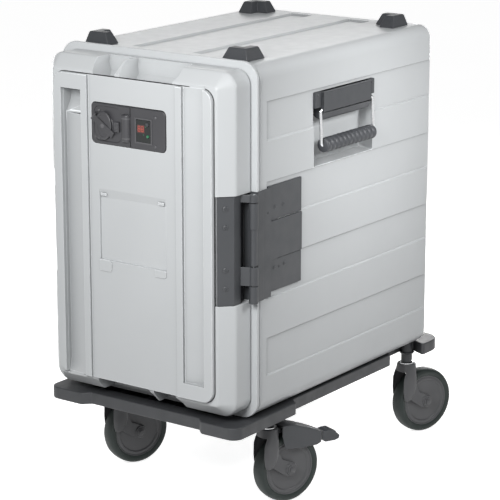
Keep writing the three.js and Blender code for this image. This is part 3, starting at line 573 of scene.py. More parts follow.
def build_body():
    """Hollow body with its bands, troughs and handle pockets, the beaded rim and two skids."""
    body = slab(BODY_HALF, BODY_LOW, BODY_HIGH, 25, [(0, 14.0)] + fillet(12, BODY_BACK, 5))
    carve(body, *band_cutters(), *trough_cutters())
    pocket = handle_pocket()
    carve(body, mirrored(pocket), pocket)
    soften(body, 0.7, 2)
    carve(body, body_lining())
    bead = [(1.2, 10.0), (0.3, 10.5), (0, 11.4), (0, 12.8), (0.3, 13.6), (1.2, 14.0)]
    rim = slab(RIM_HALF, RIM_LOW, RIM_HIGH, 30, bead)
    neck = slab(NECK_HALF, NECK_LOW, NECK_HIGH, 25, [(0, 7.4), (0, 12.0)])
    for ring in (rim, neck):
        carve(ring, slab(200, 197, 789, 22, [(0, 0.0), (0, 30.0)]))
    skids = [box(x - SKID_HALF, x + SKID_HALF, 20, 540, 186.3, 191) for x in (-SKID_X, SKID_X)]
    piece(gather(body, rim, neck, *skids), "body_skin", "root", "shell", ["outer_shell"], sharp=19)


def build_flange():
    """Flange round the mouth, with rounded edges."""
    edge = [(1.4, 0.0), (0.5, 0.35), (0, 1.4), (0, 5.6), (0.5, 6.65), (1.4, 7.0)]
    flange = slab(FLANGE_HALF, FLANGE_FOOT, FLANGE_HEAD, 32, edge, 14)
    carve(flange, prism(rounded(-166, 166, 240, 752, 14, 6), "y", -5, 20))
    piece(flange, "flange_skin", "root", "shell", ["front_flange"])


# ---------------------------------------------------------------- door
CHANNEL_NEAR, CHANNEL_FAR = 108, 152
CHANNEL_LOW, CHANNEL_RAMP = 254.4, 742


def channel_cutter():
    """Right-hand grip channel, open at the top where its floor ramps out to the door's face."""
    near, far = CHANNEL_NEAR, CHANNEL_FAR
    levels = ((CHANNEL_LOW, -58.3), (CHANNEL_RAMP, -58.3), (776, -66.0))
    return loft([[(near, -80, z), (far, -80, z), (far, y, z), (near, -67.8, z)] for z, y in levels])


def channel_floor():
    """Sloping floor of that channel where it shows through the front plate."""
    near, far = CHANNEL_NEAR + 0.05, CHANNEL_FAR - 0.05
    levels = ((CHANNEL_LOW, -58.45), (CHANNEL_RAMP, -58.45), (PLATE_HIGH, -63.35))
    return loft([[(near, -67.95, z), (near, -56, z), (far, -56, z), (far, y, z)] for z, y in levels])


def scoop_cutter():
    """Finger scoop at the top of the left-hand channel."""
    profile = [(-80, 735.4), (-80, 692), (-58.6, 692), (-45.8, 712), (-44.3, 718), (-44.3, 735.4)]
    return prism(profile, "x", -CHANNEL_FAR, -CHANNEL_NEAR)


def pit_cutter():
    """Pit in the door's top edge: its floor slopes down to the panel, a rib divides it."""
    floor_line = [(-75, 753), (-58, 753), (-30, 757), (-20, 766), (-15, 785), (-15, 800), (-75, 800)]
    pit = prism(floor_line, "x", -97, 99)
    ends = {
        "left": (0, 6, [(-120, 740), (-77, 740), (-80, 754), (-94, 779), (-96, 800), (-120, 800)]),
        "right": (0, -4, [(120, 740), (76, 740), (78, 754), (92, 779), (94, 800), (120, 800)]),
        "rib": (0, 10, [(-41, 740), (-22, 740), (-26, 756), (-35, 778), (-36, 800), (-39, 800)]),
    }
    left, right, rib = (loft([[(x + shift, y, z) for x, z in line] for y, shift in ((-80, near), (-10, far))])
                        for near, far, line in ends.values())
    return carve(pit, left, right, rib)


def plate_shadow_ring():
    """Dark ring round the front plate, a painted shadow in the gap between plate and door, cut where the grip
    channels run out over the door's edge.
    """
    section = [(169.4, -64.5), (171.0, -64.5), (171.0, -66.3), (169.4, -66.3)]
    rings = []
    for half, y in section:
        reach = 98.6 + half
        outline = rounded(-half, half, MID_Z - reach, MID_Z + reach, half - 148.6, 10)
        rings.append([(u, y, v) for u, v in outline])
    channel = channel_cutter()
    shadow_ring = carve(loft(rings, closed=True), half_turned(channel), channel)
    piece(shadow_ring, "plate_shadow_ring", "door", "rubber")


LEAF_SPAN = (398, 586)


def door_cutters():
    """Pits, grip channels, seats of the hinge leaf and the latch, panel hole, and recesses at the back."""
    leaf = [(171, -67), (171, -61.3), (190.5, -41.8), (190.5, -24), (181, -24), (181, 5), (205, 5),
            (205, -67)]
    grip = [(-168.5, -67), (-168.5, -52), (-181, -42), (-181, 5), (-205, 5), (-205, -67)]
    channel = channel_cutter()
    pit = pit_cutter()
    panel_hole = box(-82.3, 69.3, -90, -30, 652, 714)
    hollow = prism(rounded(-165, 165, 250, 740, 10, 4), "y", -40, 10)
    seat = prism(rounded(-193.8, 193.8, 203.5, 787.3, 25, 6), "y", -8, 10)
    cuts = [half_turned(pit), pit, half_turned(channel), channel, scoop_cutter()]
    cuts += [prism(leaf, "z", *LEAF_SPAN), prism(grip, "z", *LEAF_SPAN)]
    return cuts + [panel_hole, hollow, seat]


def build_door():
    """Door shell: slanted edges in front, hollow towards the body."""
    edge = [(25.4, -65.8), (23.6, -65.5), (22.2, -64.7), (20.8, -63.5), (3.2, -45.9), (1.6, -44.0),
            (0.5, -41.8), (0, -39.0), (0, -2.6), (0.3, -1.8), (1.2, -1.5)]
    door = slab(DOOR_HALF, DOOR_LOW, DOOR_HIGH, 28, edge, 10)
    carve(door, *door_cutters())
    soften(door, 0.9, 2, shortest=2.3)
    piece(door, "door_skin", "door", "shell", ["door_outer_shell"], sharp=24)
    plate_shadow_ring()


def card_pocket():
    """Recess for a card: its floor is set back, and its upper edge slopes."""
    mouth = ((-72.5, 443.5), (71, 443.5), (71, 568.8), (-72.5, 568.8))
    floor = ((-71.3, 445.5), (69.8, 445.5), (69.8, 545), (-71.3, 541))
    levels = ((-63.2, floor), (-69.5, mouth), (-75, mouth))
    return loft([[(x, y, z) for x, z in outline] for y, outline in levels])


def card_clips():
    """Clips at the corners of the card pocket."""
    outlines = (
        ([(-73.5, 424), (-50, 424), (-47, 429), (-47, 440), (-52, 444.5), (-73.5, 444.5)], -70.6, -69.0),
        ([(47, 431), (69, 431), (71.5, 435), (71.5, 443.8), (47, 443.8)], -70.4, -69.0),
        ([(-69, 557), (-57, 557), (-57, 562), (-69, 562)], -69.9, -68.0),
        ([(55, 557), (67, 557), (67, 562), (55, 562)], -69.9, -68.0),
    )
    return [soften(prism(outline, "y", near, far), 0.5, 2) for outline, near, far in outlines]


def build_plate():
    """Front plate: sunk middle field between two seams, grip channels, card pocket and panel opening."""
    edge = [(0, -60.0), (0, -71.6), (0.35, -72.6), (1.1, -73.2), (2.0, -73.3)]
    plate = slab(PLATE_HALF, PLATE_LOW, PLATE_HIGH, 21, edge, 10)
    backs = ((-180, -96, -65.9), (-96.5, 96.5, -61.5), (96, 180, -65.9))
    carve(plate, *[box(x0, x1, y, -40, 200, 800) for x0, x1, y in backs])
    groove = box(CHANNEL_NEAR, CHANNEL_FAR, -90, -40, CHANNEL_LOW, 800)
    sink = loft([[(x, y, z) for x, z in ((-w, 200), (w, 200), (w, 800), (-w, 800))]
                 for y, w in ((-69.3, 93.2), (-75, 96.2))])
    opening = prism(rounded(-87.2, 73.9, 647.1, 718.9, 9.4, 6), "y", -90, -50)
    seams = [box(x - 0.7, x + 0.7, -90, -68.4, 226, 765) for x in (-94, 94)]
    slots = [box(x0, x1, -80, -62.4, 444.7, 446.9) for x0, x1 in ((-71.5, -52), (49, 69.5))]
    carve(plate, half_turned(groove), groove, sink, *seams, card_pocket(), *slots, opening)
    soften(plate, 0.6, 2)
    weld(plate, *card_clips())
    right_bed = channel_floor()
    left_bed = carve(half_turned(right_bed), scoop_cutter())
    piece(gather(plate, right_bed, left_bed), "plate_skin", "door", "shell", ["door_front_plate"], sharp=9.5)


build_body()
build_flange()
build_door()
build_plate()


# ---------------------------------------------------------------- small fittings
def screw_head(radius, height, axis, centre, ahead):
    """Domed head with a round socket, looking along axis towards ahead (+1 or -1)."""
    shape = ((1, 0.0), (1, 0.35), (0.86, 0.75), (0.55, 1), (0.5, 1), (0.48, 0.45))
    return spun([(radius * r, ahead * height * h) for r, h in shape], axis, centre, 20)


FOOT_X = 148.0
FOOT_Y = {"front": 46.0, "back": 500.0}


def build_feet():
    """Corner feet: two tapered ridges that meet at a right angle."""
    levels = ((798.3, -25.5, 25.5, 3.5), (800.5, -25.5, 25.3, 3.5), (817.8, -20.4, 16.4, -2.2),
              (819.2, -19.0, 15.0, -3.6))
    for end, flip_y in (("front", 1), ("back", -1)):
        for side, flip_x in (("left", 1), ("right", -1)):
            foot = loft([[(u, v, z) for u, v in ((a, a), (b, a), (b, c), (c, c), (c, b), (a, b))]
                         for z, a, b, c in levels])
            soften(foot, 0.9, 3, 24)
            spot = Matrix.Translation((-flip_x * FOOT_X, FOOT_Y[end], 0))
            foot.data.transform(spot @ Matrix.Diagonal((flip_x, flip_y, 1, 1)))
            if flip_x * flip_y < 0:
                foot.data.flip_normals()
            piece(foot, f"foot_skin_{end}_{side}", "root", "dark", [f"stacking_foot_{end}_{side}"])


# ---------------------------------------------------------------- handles
BAIL_X, BAIL_Z = 209.5, 696.5
GRIP_X, GRIP_Z = 212.0, 634.0
BAIL_FRONT, BAIL_BACK = 186.5, 350.5
BAIL_RADIUS = 2.9
GRIP_FRONT, GRIP_BACK = 190.6, 346.4
GRIP_RADIUS, GRIP_RIB = 12.9, 1.9


def ribbed_grip(steps=48, ribs=12):
    """Right-hand rubber grip with slanting ribs and smooth collars."""
    rows = 12 * ribs
    sections = []
    for k in range(rows + 1):
        t = k / rows
        y = GRIP_FRONT + (GRIP_BACK - GRIP_FRONT) * t
        end = min(t, 1 - t)
        collar = min(1.0, end / 0.045)
        dome = math.sqrt(max(0.0, 1 - (1 - min(1.0, end / 0.02)) ** 2))
        ring = []
        for i in range(steps):
            a = 2 * math.pi * i / steps
            wave = 0.5 - 0.5 * math.cos(2 * math.pi * (t * ribs + i / steps))
            radius = (GRIP_RADIUS - GRIP_RIB * collar * (1 - wave ** 0.45)) * (0.55 + 0.45 * dome)
            ring.append((GRIP_X + radius * math.cos(a), y, GRIP_Z + radius * math.sin(a)))
        sections.append(ring)
    return loft(sections)


def handle_bracket():
    """Right-hand bracket: a cover between two ears, each with a screw."""
    profile = [(183.4, 728), (183.4, 691), (197, 680.5), (207, 677.2), (209.6, 679), (213.6, 690.5),
               (214.0, 692.5), (214.0, 726.5), (212.5, 728)]
    cover = prism(profile, "y", 190.2, 340.8)
    soften(cover, 1.6, 3, 24)
    ears = [prism([(183.6, 728), (183.6, 700.8), (209.8, 700.8), (209.8, 728)], "y", y0, y1)
            for y0, y1 in ((171.4, 190.0), (341.0, 357.6))]
    for ear in ears:
        soften(ear, 1.0, 2)
    rail = prism([(200, 726.4), (214.4, 726.4), (214.4, 728), (200, 728)], "y", 191, 340)
    plugs = [screw_head(2.6, 1.2, "x", (209.8, y, 722.5), 1) for y in (180.5, 349.3)]
    return gather(cover, rail, *ears, *plugs)


def handle_bail():
    """Right-hand wire bail, bent twice at each end; its halves mirror each other."""
    bend = (0.5, 1.05, 1.57)
    half = [(BAIL_X, 198, BAIL_Z)]
    half += [(BAIL_X, BAIL_FRONT + 4 - 4 * math.sin(a), BAIL_Z - 4 + 4 * math.cos(a)) for a in (0, *bend)]
    half += [(GRIP_X, BAIL_FRONT, GRIP_Z + 5)]
    half += [(GRIP_X, BAIL_FRONT + 5 - 5 * math.cos(a), GRIP_Z + 5 - 5 * math.sin(a)) for a in bend]
    other = [(x, BAIL_FRONT + BAIL_BACK - y, z) for x, y, z in half[::-1]]
    return tube(half + other, BAIL_RADIUS, 16)


def on_side(obj, side):
    """The piece itself on the right, its mirror image on the left."""
    if side == "right":
        return obj
    made = mirrored(obj)
    bpy.data.objects.remove(obj)
    return made


def build_handles():
    for side in ("right", "left"):
        bracket = on_side(handle_bracket(), side)
        piece(bracket, f"bracket_skin_{side}", "root", "dark", [f"handle_bracket_{side}"])
        wire = on_side(handle_bail(), side)
        piece(wire, f"bail_skin_{side}", f"bail_{side}", "steel", [f"handle_bail_{side}"], sharp=60)
        grip = on_side(ribbed_grip(), side)
        piece(grip, f"grip_skin_{side}", f"bail_{side}", "grip", [f"handle_grip_{side}"], sharp=50)


# ---------------------------------------------------------------- hinge
HINGE_AXIS = (211, -12, 0)
HINGE_LOW, HINGE_HIGH = 398.4, 585.6
KNUCKLE_RADIUS, KNUCKLE_BORE = 7.95, 3.4


def knuckle(low, high, radius=KNUCKLE_RADIUS):
    """Barrel on the hinge's axis, bored for the pin."""
    profile = [(KNUCKLE_BORE, low + 0.5), (radius - 0.8, low), (radius, low + 0.8), (radius, high - 0.8),
               (radius - 0.8, high), (KNUCKLE_BORE, high - 0.5)]
    return lathe(profile, "z", HINGE_AXIS, 40)


def hinge_door_leaf():
    """Leaf on the door's slanted edge, with its arms, knuckles and screws."""
    leaf_line = [(171.4, -61.2), (173.9, -63.7), (194.0, -43.6), (194.0, -24.4), (190.9, -24.4),
                 (190.9, -41.4)]
    leaf = prism(leaf_line, "z", HINGE_LOW, HINGE_HIGH)
    arm_line = [(190.9, -27), (209, -19.4), (211, -10), (193.9, -24.4)]
    arms = [prism(arm_line, "z", z0, z1) for z0, z1 in ((572.3, 585.3), (429.3, 461.7))]
    for obj in (leaf, *arms):
        soften(obj, 0.7, 2)
    knuckles = [knuckle(z0, z1) for z0, z1 in ((572.2, 585.4), (429.2, 461.8))]
    heads = []
    slant = Matrix.Rotation(math.radians(-45), 4, "Z")
    for z in (565, 533, 460, 428):
        head = screw_head(4.6, 1.3, "x", (0, 0, 0), 1)
        head.data.transform(Matrix.Translation((184.0, -53.9, z)) @ slant)
        heads.append(head)
    return gather(leaf, *arms, *knuckles, *heads)


def hinge_body_leaf():
    """Leaf on the body's side, which steps over one side band, with the bridge to its barrels."""
    top, foot = band_line(3), band_line(4)
    step = box(207.3, 210.7, 17, 131, foot + 0.4, top - 0.4)
    upper = box(204.8, 209.3, 32.4, 131, top + 0.6, 590)
    lower = box(204.8, 209.3, 32.4, 131, 406, foot - 0.4)
    lip = box(209.0, 211.0, 14.6, 39, HINGE_LOW, 588)
    core = box(207.2, 209.1, 15.2, 60, foot - 1, top + 1)
    # Dark sheet on the flange's front behind the door's edge: a painted shadow in the gap, shaped as the leaf
    # wrapping round the flange.
    shadow_plate = box(182.4, 209.8, -1.1, -0.1, 399, 587)
    for obj in (step, upper, lower, lip):
        soften(obj, 0.8, 2)
    bridge_line = [(210.5, -11.5), (213.3, -11.5), (213.3, 14), (211.8, 15.8), (210.5, 15.8)]
    bridge = prism(bridge_line, "z", HINGE_LOW, 587.8)
    carve(bridge, box(200, 220, -22, -2.6, 571.2, 600), box(200, 220, -22, -2.6, 428.2, 462.8))
    soften(bridge, 0.5, 2)
    barrels = [knuckle(z0, z1, r) for z0, z1, r in (
        (398.2, 428.3, KNUCKLE_RADIUS), (462.7, 527, 6.15), (526.4, 571.3, KNUCKLE_RADIUS))]
    heads = [screw_head(r, 0.8, "x", (x, y, z), 1) for x, y, z, r in (
        (209.4, 52, 552, 3.6), (209.4, 76, 553, 3.6), (210.9, 30, 546, 2.6),
        (209.4, 50, 446.5, 3.6), (209.4, 64, 446, 2.6), (209.4, 80, 448, 3.6))]
    return gather(step, upper, lower, lip, core, shadow_plate, bridge, *barrels, *heads)


def build_hinge():
    piece(hinge_door_leaf(), "hinge_door_skin", "door", "hinge", ["hinge_door_leaf"])
    piece(hinge_body_leaf(), "hinge_body_skin", "root", "hinge", ["hinge_body_leaf"])
    # Dark sheet lining the leaf's seat in the door's side: partly the hinge's own dark colour, partly painted
    # shade in the gap.
    pocket = [(181.1, -1.7), (181.1, -23.9), (182.1, -23.9), (182.1, -1.7)]
    piece(prism(pocket, "z", HINGE_LOW, HINGE_HIGH), "hinge_pocket_shade_lining", "door", "dark")


# ---------------------------------------------------------------- trolley
TROLLEY_FRONT, TROLLEY_BACK = -58.0, 620.0
DECK_LOW, DECK_HIGH = 164, 186
TRAY_HALF, TRAY_EDGE, TRAY_FLOOR = 142, 44, 169.2
RIB_HALF, RIB_LOW, RIB_HIGH = 1.6, 168.8, 180
CASTER_X = 170.0
CASTER_Y = {"front": 88.5, "back": 550.0}


def trolley_outline():
    """Outline of the deck: rounded corners, with a notch in each side towards the back."""
    front, back = TROLLEY_FRONT, TROLLEY_BACK
    right = [(119, front + 14), (131, front + 2), (136, front)]
    right += arc(188, front + 20, 20, -90, 0, 7) + [(208, 116), (207, 121), (193, 134), (192, 139)]
    right += [(192, 455), (160, 487), (160, 546), (178, 562), (203, 550), (207, 554)]
    right += arc(172, back - 36, 35, 0, 90, 7) + [(136, back), (131, back - 2), (119, back - 14)]
    return right + [(-x, y) for x, y in right[::-1]]


def build_trolley():
    """Deck with a ribbed tray and a socket over each caster."""
    deck = prism(trolley_outline(), "z", DECK_LOW, DECK_HIGH)
    half, front, back = TRAY_HALF, TROLLEY_FRONT + TRAY_EDGE, TROLLEY_BACK - TRAY_EDGE
    tray = [(half, front), (half, back), (-half, back), (-half, front)]
    levels = ((TRAY_FLOOR, 0.985), (DECK_HIGH + 1, 1.0))
    carve(deck, loft([[(x * size, y, z) for x, y in tray] for z, size in levels]))
    soften(deck, 1.8, 3, 28)
    ribs = [box(x - RIB_HALF, x + RIB_HALF, front + 2, back - 2, RIB_LOW, RIB_HIGH)
            for x in (-90, -30, 30, 90)]
    ribs += [box(1 - half, half - 1, y - RIB_HALF, y + RIB_HALF, RIB_LOW, RIB_HIGH)
             for y in (90, 190, 290, 390, 490)]
    socket = [(6.4, 145.2), (9.9, 145.2), (10.5, 145.8), (10.5, 160), (14.5, 164.6), (6.4, 164.6)]
    sockets = []
    for x in (-CASTER_X, CASTER_X):
        for y in CASTER_Y.values():
            sockets.append(lathe(socket, "z", (x, y, 0), 32))
            sockets.append(rod(10.5, "z", 164.2, 185.8, (x, y, 0)))
    piece(gather(deck, *ribs, *sockets), "trolley_skin", "root", "frame", ["trolley_frame"])


# ---------------------------------------------------------------- casters
CASTER_TURN = -20.5
WHEEL_CENTRE = (0, 37.5, 62.5)
PEDAL_PIN = (0, 21, 135.5)


def oval(a, t, steps):
    """Ellipse round the origin."""
    return [(a * math.cos(k), t * math.sin(k)) for k in (2 * math.pi * i / steps for i in range(steps))]


def pillow(a, t, centre, power, steps=40):
    """Rounded outline between an ellipse (power 2) and a rectangle."""
    ring = []
    for i in range(steps):
        c, d = math.cos(2 * math.pi * i / steps), math.sin(2 * math.pi * i / steps)
        x = a * math.copysign(abs(c) ** (2 / power), c)
        ring.append((x, centre + t * math.copysign(abs(d) ** (2 / power), d)))
    return ring


def with_mirror(half):
    """(radius, height) pairs followed by their mirror image."""
    return half + [(r, -h) for r, h in half[::-1]]


def caster_fork(braked):
    """Hollow column with two legs; the front ones also have a lug for the pedal's pin."""
    levels = [(70, 19.2, 6, -10, 3), (72, 20.4, 9, -8.5, 3.6), (80, 21.2, 14, -6, 4), (92, 21.4, 17, -4.4, 4),
              (112, 21.4, 17.6, -3.4, 4), (122, 20.8, 17.8, -2.2, 3), (132, 19.4, 17.8, -0.6, 2.3),
              (140.6, 18.6, 17.8, 0, 2), (142.4, 17.6, 16.8, 0, 2), (143.0, 15.6, 15.2, 0, 2)]
    column = loft([[(u, v, z) for u, v in pillow(a, t, c, p)] for z, a, t, c, p in levels])
    outline = [(-10, 122), (-15, 92), (-12, 80), (4, 67), (22, 54), (31, 50), (42, 49.8), (49, 56),
               (50.2, 64), (46, 72), (34, 77), (19, 84), (12, 96), (10, 122)]
    legs = []
    for side in (-1, 1):
        legs.append(soften(prism(outline, "x", side * 17.2, side * 18.9), 0.8, 3, 26))
        boss = [(4.8, side * 18.4), (12.0, side * 18.4), (10.6, side * 21.3), (4.8, side * 21.3)]
        legs.append(lathe(boss, "x", WHEEL_CENTRE, 32))
    carve(column, box(-17.0, 17.0, -60, 60, 40, 127.6), rod(6.4, "z", 100, 150, (0, 0, 0), 0.0))
    soften(column, 0.5, 2, 40)
    if braked:
        lug = soften(box(-10.9, 10.9, 12, 26.5, 130.4, 140.2), 1.0, 2)
        legs.append(carve(lug, rod(3.0, "x", -20, 20, PEDAL_PIN, 0.0)))
    return gather(column, *legs)


def caster_ring():
    """Bearing ring between the fork and the trolley."""
    section = [(6.4, 143.0), (14.6, 143.0), (14.6, 144.2), (13.6, 144.9), (6.4, 144.9)]
    return lathe(section, "z", (0, 0, 0), 36)


def caster_wheel():
    """Rim: hub, sunk face and stepped edge."""
    half = [(4.9, 14.4), (10.8, 14.4), (11.8, 13.6), (12.4, 11.8), (14.5, 11.2), (38.4, 10.9), (39.6, 11.3),
            (40.4, 12.6), (41.6, 12.9), (44.6, 12.9), (45.6, 12.2), (46.4, 12.2), (47.2, 13.2), (48.6, 13.3)]
    return lathe(with_mirror(half), "x", WHEEL_CENTRE, 72)


def caster_tyre():
    """Tyre with a rounded tread."""
    half = [(49.0, 13.2), (51.5, 14.2), (54.8, 14.9), (57.8, 14.6), (60.2, 12.6), (61.7, 9.4), (62.3, 5.4),
            (62.5, 1.8)]
    return lathe(with_mirror(half), "x", WHEEL_CENTRE, 96)


def caster_axle():
    """Axle with a washer and a bolt head at each end."""
    washer = [(8.0, 21.6), (8.0, 22.3), (7.4, 22.8), (5.6, 22.9)]
    head = [(4.9, 22.7), (5.0, 24.0), (4.2, 24.8), (2.4, 25.1)]
    bolts = [spun([(r, side * h) for r, h in profile], "x", WHEEL_CENTRE, 28)
             for side in (-1, 1) for profile in (washer, head)]
    return gather(rod(4.4, "x", -22, 22, WHEEL_CENTRE), *bolts)


def brake_pedal():
    """Hood over the fork, narrower and ribbed towards its tread."""
    side = [(17.7, 145.2), (17.7, 127), (24, 101.5), (60, 98.0), (92, 97.3), (101, 100.5), (104, 104),
            (110, 101), (116, 95.4), (136, 94.6), (144.5, 96.2), (147.3, 100), (146, 104), (132, 115.6),
            (122, 116.6), (114, 115.4), (104, 120), (88, 127), (62, 137.2), (40, 144.2), (28, 145.4)]
    hood = prism(side, "x", -20.4, 20.4)
    room = [(10, 142.4), (10, 88), (101, 88), (101, 103), (86, 121.8), (60, 132.8), (40, 140.3), (28, 142.4)]
    waist = [loft([[(sign * x, y, z) for x, z in ((w, 60), (40, 60), (40, 160), (w, 160))]
                   for y, w in ((100, 20.6), (108, 12.6), (150, 12.8))]) for sign in (-1, 1)]
    carve(hood, prism(room, "x", -17.9, 17.9), *waist)
    soften(hood, 1.5, 3, 24)
    ribs = []
    for y in (123.0, 127.0, 131.0, 135.0, 139.0):
        z = 116.2 - max(0.0, y - 132) * 0.78
        ribs.append(tube([(-11.5, y, z), (11.5, y, z)], 0.8, 10))
    return gather(hood, rod(2.5, "x", -18.2, 18.2, PEDAL_PIN), *ribs)


def build_casters():
    """Four swivelling casters; the front ones have brake pedals."""
    for end, y in CASTER_Y.items():
        for side, x in (("left", -CASTER_X), ("right", CASTER_X)):
            tag = f"{end}_{side}"
            place = Matrix.Translation((x, y, 0)) @ Matrix.Rotation(math.radians(CASTER_TURN), 4, "Z")
            made = [(caster_ring(), "fork", "steel", [], 40),
                    (caster_fork(end == "front"), "fork", "rim", [f"caster_fork_{tag}"], 35),
                    (caster_wheel(), "wheel", "rim", [f"caster_wheel_{tag}"], 50),
                    (caster_tyre(), "wheel", "tyre", [f"caster_tyre_{tag}"], 60),
                    (caster_axle(), "fork", "rim", [f"caster_axle_{tag}"], 40)]
            if end == "front":
                made.append((brake_pedal(), "brake", "dark", [f"brake_pedal_{tag}"], 35))
            for obj, body, look, nodes, sharp in made:
                obj.data.transform(place)
                label = nodes[0].replace(tag, f"skin_{tag}") if nodes else f"caster_ring_{tag}"
                piece(obj, label, f"{body}_{tag}", look, nodes, sharp=sharp)


# ---------------------------------------------------------------- control panel
PANEL_LEFT, PANEL_RIGHT, PANEL_LOW, PANEL_HIGH, PANEL_CORNER = -85.8, 72.5, 648.5, 717.5, 8
INLET = (-57, 0, 680.5)
INLET_TILT = Matrix.Translation(INLET) @ Matrix.Rotation(math.radians(33.7), 4, "Y")
WINDOW = (11.3, 42.5)
WINDOW_SPAN = (660.6, 699.0)
BULGE_X, BULGE_Y = -10, -69.4


def panel_openings():
    """Holes for the inlet and the display; the face and the tub have the same ones."""
    return rod(15.4, "y", -95, -20, INLET, 0.0, 40), box(*WINDOW, -90, -20, *WINDOW_SPAN)


def panel_outline(grow, corner):
    """Outline of the panel, grown on all sides."""
    return rounded(PANEL_LEFT - grow, PANEL_RIGHT + grow, PANEL_LOW - grow, PANEL_HIGH + grow, corner, 8)


def panel_shadow_ring():
    """Dark ring round the panel, a painted shadow in the gap between the panel and the plate's opening."""
    section = ((0, -60.0), (1.2, -60.0), (1.2, -69.0), (0, -69.6))
    rings = [[(u, y, v) for u, v in panel_outline(0.1 + w, PANEL_CORNER + w)] for w, y in section]
    piece(loft(rings, closed=True), "bezel_shadow_ring", "door", "black")


def panel_face():
    """Front of the panel: the inlet's field is sunk, and a seam parts the two halves."""
    edge = ((0, -67.0), (0, -70.0), (0.4, -70.7), (1.2, -71.0))
    face = loft([[(u, y, v) for u, v in panel_outline(-i, PANEL_CORNER - i)] for i, y in edge])
    levels = ((-69.4, -80, -21, 653.5, 712.5, 12), (-74, -82.5, -18.5, 651, 715, 14))
    field = loft([[(u, y, v) for u, v in rounded(u0, u1, v0, v1, r, 6)]
                  for y, u0, u1, v0, v1, r in levels])
    seam = box(-1.6, -0.7, -72, -70.2, 650, 716)
    carve(face, field, *panel_openings(), seam)
    return soften(face, 0.4, 2)


def panel_bulge():
    """Half-round pillar between the inlet and the display, with a ring near each end."""
    angles = [math.pi * i / 14 for i in range(15)]
    levels = ((656.7, 5.5, 0.7), (657.5, 8.0, 0.9), (659.5, 8.9, 0.98), (701.5, 8.9, 0.98), (703.6, 8.0, 0.9),
              (704.4, 5.5, 0.7))
    pillar = loft([[(BULGE_X + r * math.cos(a), BULGE_Y - r * depth * math.sin(a), z) for a in angles]
                   for z, r, depth in levels])
    rings = [loft([[(BULGE_X + 9.1 * math.cos(a), BULGE_Y - 8.8 * math.sin(a), z + dz) for a in angles]
                   for dz in (0, 1.4)]) for z in (663, 697)]
    return pillar, *rings


def ribbed_pad():
    """Ribbed pad beside the pillar."""
    pad = soften(box(-34.6, -24.8, -73.0, -69.2, 671.6, 689), 0.8, 2)
    ribs = [soften(box(-34.2, -25.2, -73.7, -72.8, 672.6 + 2.3 * i, 673.8 + 2.3 * i), 0.3, 1)
            for i in range(7)]
    return pad, *ribs


def inlet_mount():
    """Rim round the inlet, and the two lugs that carry its lid."""
    lugs = [box(-28.2, -23.2, -75.5, -69, z0, z1) for z0, z1 in ((4.7, 7.1), (-7.1, -4.7))]
    for lug in lugs:
        soften(lug, 0.5, 2)
        lug.data.transform(INLET_TILT)
    section = [(15.5, -69.6), (15.5, -70.8), (17.6, -70.8), (18.4, -70.2), (18.6, -69.2), (17.0, -69.2)]
    return *lugs, lathe(section, "y", INLET, 48)


def build_bezel():
    """Panel with its tub, pillar, pad, inlet, screws and the display's surround."""
    tub = carve(box(-81.5, 68.5, -67.6, -28.2, 652.7, 713.3), box(-78.6, 65.6, -66.6, -20, 655.6, 710.4))
    carve(tub, *panel_openings())
    screws = [screw_head(2.7, 1.2, "y", (x, -70.9, z), -1) for x, z in ((52.5, 705.3), (51.7, 656))]
    screws += [screw_head(2.7, 1.0, "y", (x, -69.9, z), -1) for x, z in ((-70.5, 705), (-71, 658))]
    surround = carve(box(8.8, 45.0, -71.9, -70.8, 658.0, 701.6), box(*WINDOW, -80, -60, *WINDOW_SPAN))
    soften(surround, 0.4, 2)
    bezel = gather(panel_face(), tub, *panel_bulge(), *ribbed_pad(), *inlet_mount(), *screws, surround)
    piece(bezel, "bezel_skin", "door", "panel", ["control_bezel"])


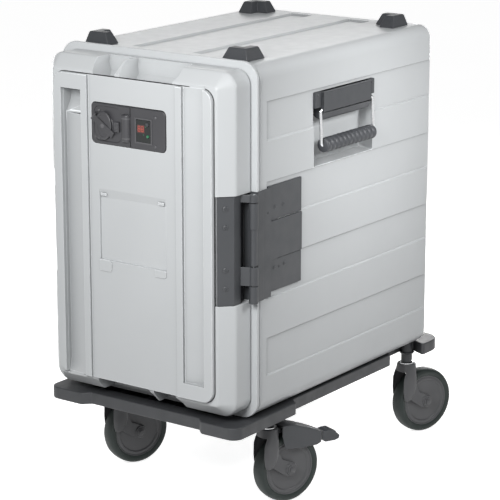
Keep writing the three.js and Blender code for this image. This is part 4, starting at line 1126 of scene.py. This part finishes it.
def build_lid():
    """Oval lid over the inlet, with a strap across it that ends in the lid's pivot."""
    levels = ((-71.4, 17.0, 24.0), (-74.9, 17.4, 24.4), (-75.6, 16.9, 23.9), (-76.0, 15.8, 22.9),
              (-76.0, 12.6, 19.4), (-75.4, 12.2, 19.0), (-75.4, 11.0, 17.6))
    lid = loft([[(INLET[0] + u, y, INLET[2] + v) for u, v in oval(a, b, 48)] for y, a, b in levels])
    strap = soften(box(-22, 26, -77.4, -75.2, -5.4, 5.4), 0.9, 3)
    arm = soften(box(-26, -14, -76, -73, -3.9, 3.9), 0.9, 3)
    barrel = rod(2.2, "z", -4.1, 4.1, (-26, -73.5, 0), 0.3, 20)
    boss = spun([(2.6, -78.0), (3.4, -77.6), (3.6, -77.0)], "y", (0, 0, 0), 28)
    for obj in (strap, arm, barrel, boss):
        obj.data.transform(INLET_TILT)
    piece(gather(lid, strap, arm, barrel, boss), "lid_skin", "inlet_lid", "panel", ["inlet_lid"])


BUTTONS = (("power_button", 35.6, 692, 3.4, "dark"), ("set_button", 36.4, 671.6, 2.6, "green"))
DIGIT_STROKE, DIGIT_GAP = 0.9, 0.15


def seven_segments(left):
    """All seven bars of one digit of the display."""
    right, low, mid, high = left + 5.0, 678.6, 683.4, 688.2
    stroke, half = DIGIT_STROKE, DIGIT_STROKE / 2
    bars = [(left, right, high - stroke, high), (left, right, mid - half, mid + half),
            (left, right, low, low + stroke), (left, left + stroke, mid, high),
            (right - stroke, right, mid, high), (right - stroke, right, low, mid),
            (left, left + stroke, low, mid)]
    gap = DIGIT_GAP
    return [box(a + gap, b - gap, -71.85, -71.5, c + gap, d - gap) for a, b, c, d in bars]


def build_display():
    """Window with its digits, lamps and tint, and the two buttons beside them."""
    glass = box(11.8, 42.0, -71.6, -52, 661.1, 698.5)
    carve(glass, *[rod(r + 0.35, "y", -90, -64, (x, 0, z), 0.0, 24) for _, x, z, r, _ in BUTTONS])
    soften(glass, 0.4, 2)
    piece(glass, "display_skin", "door", "screen", ["display_module"])
    piece(gather(*seven_segments(15.6), *seven_segments(22.4)), "display_digits", "door", "led_red")
    piece(box(14.2, 29.6, -71.75, -71.5, 676.8, 690.0), "display_tint", "door", "tint")
    lamps = [rod(0.9, "y", -71.9, -71.4, (x, 0, z), 0.1, 16) for x, z in ((31.6, 687.5), (27.5, 674))]
    piece(gather(*lamps), "display_lamps", "door", "green")
    for name, x, z, r, look in BUTTONS:
        profile = [(r, -66.1), (r, -72.4), (r - 0.4, -73.0), (r - 1.1, -73.2), (0.6, -72.9)]
        piece(spun(profile, "y", (x, 0, z), 28), f"{name}_skin", name, look, [name])


build_feet()
build_handles()
build_hinge()
build_trolley()
build_casters()
panel_shadow_ring()
build_bezel()
build_lid()
build_display()

for node in ("latch_keeper", "latch_bracket", "latch_lever"):
    refine(node)
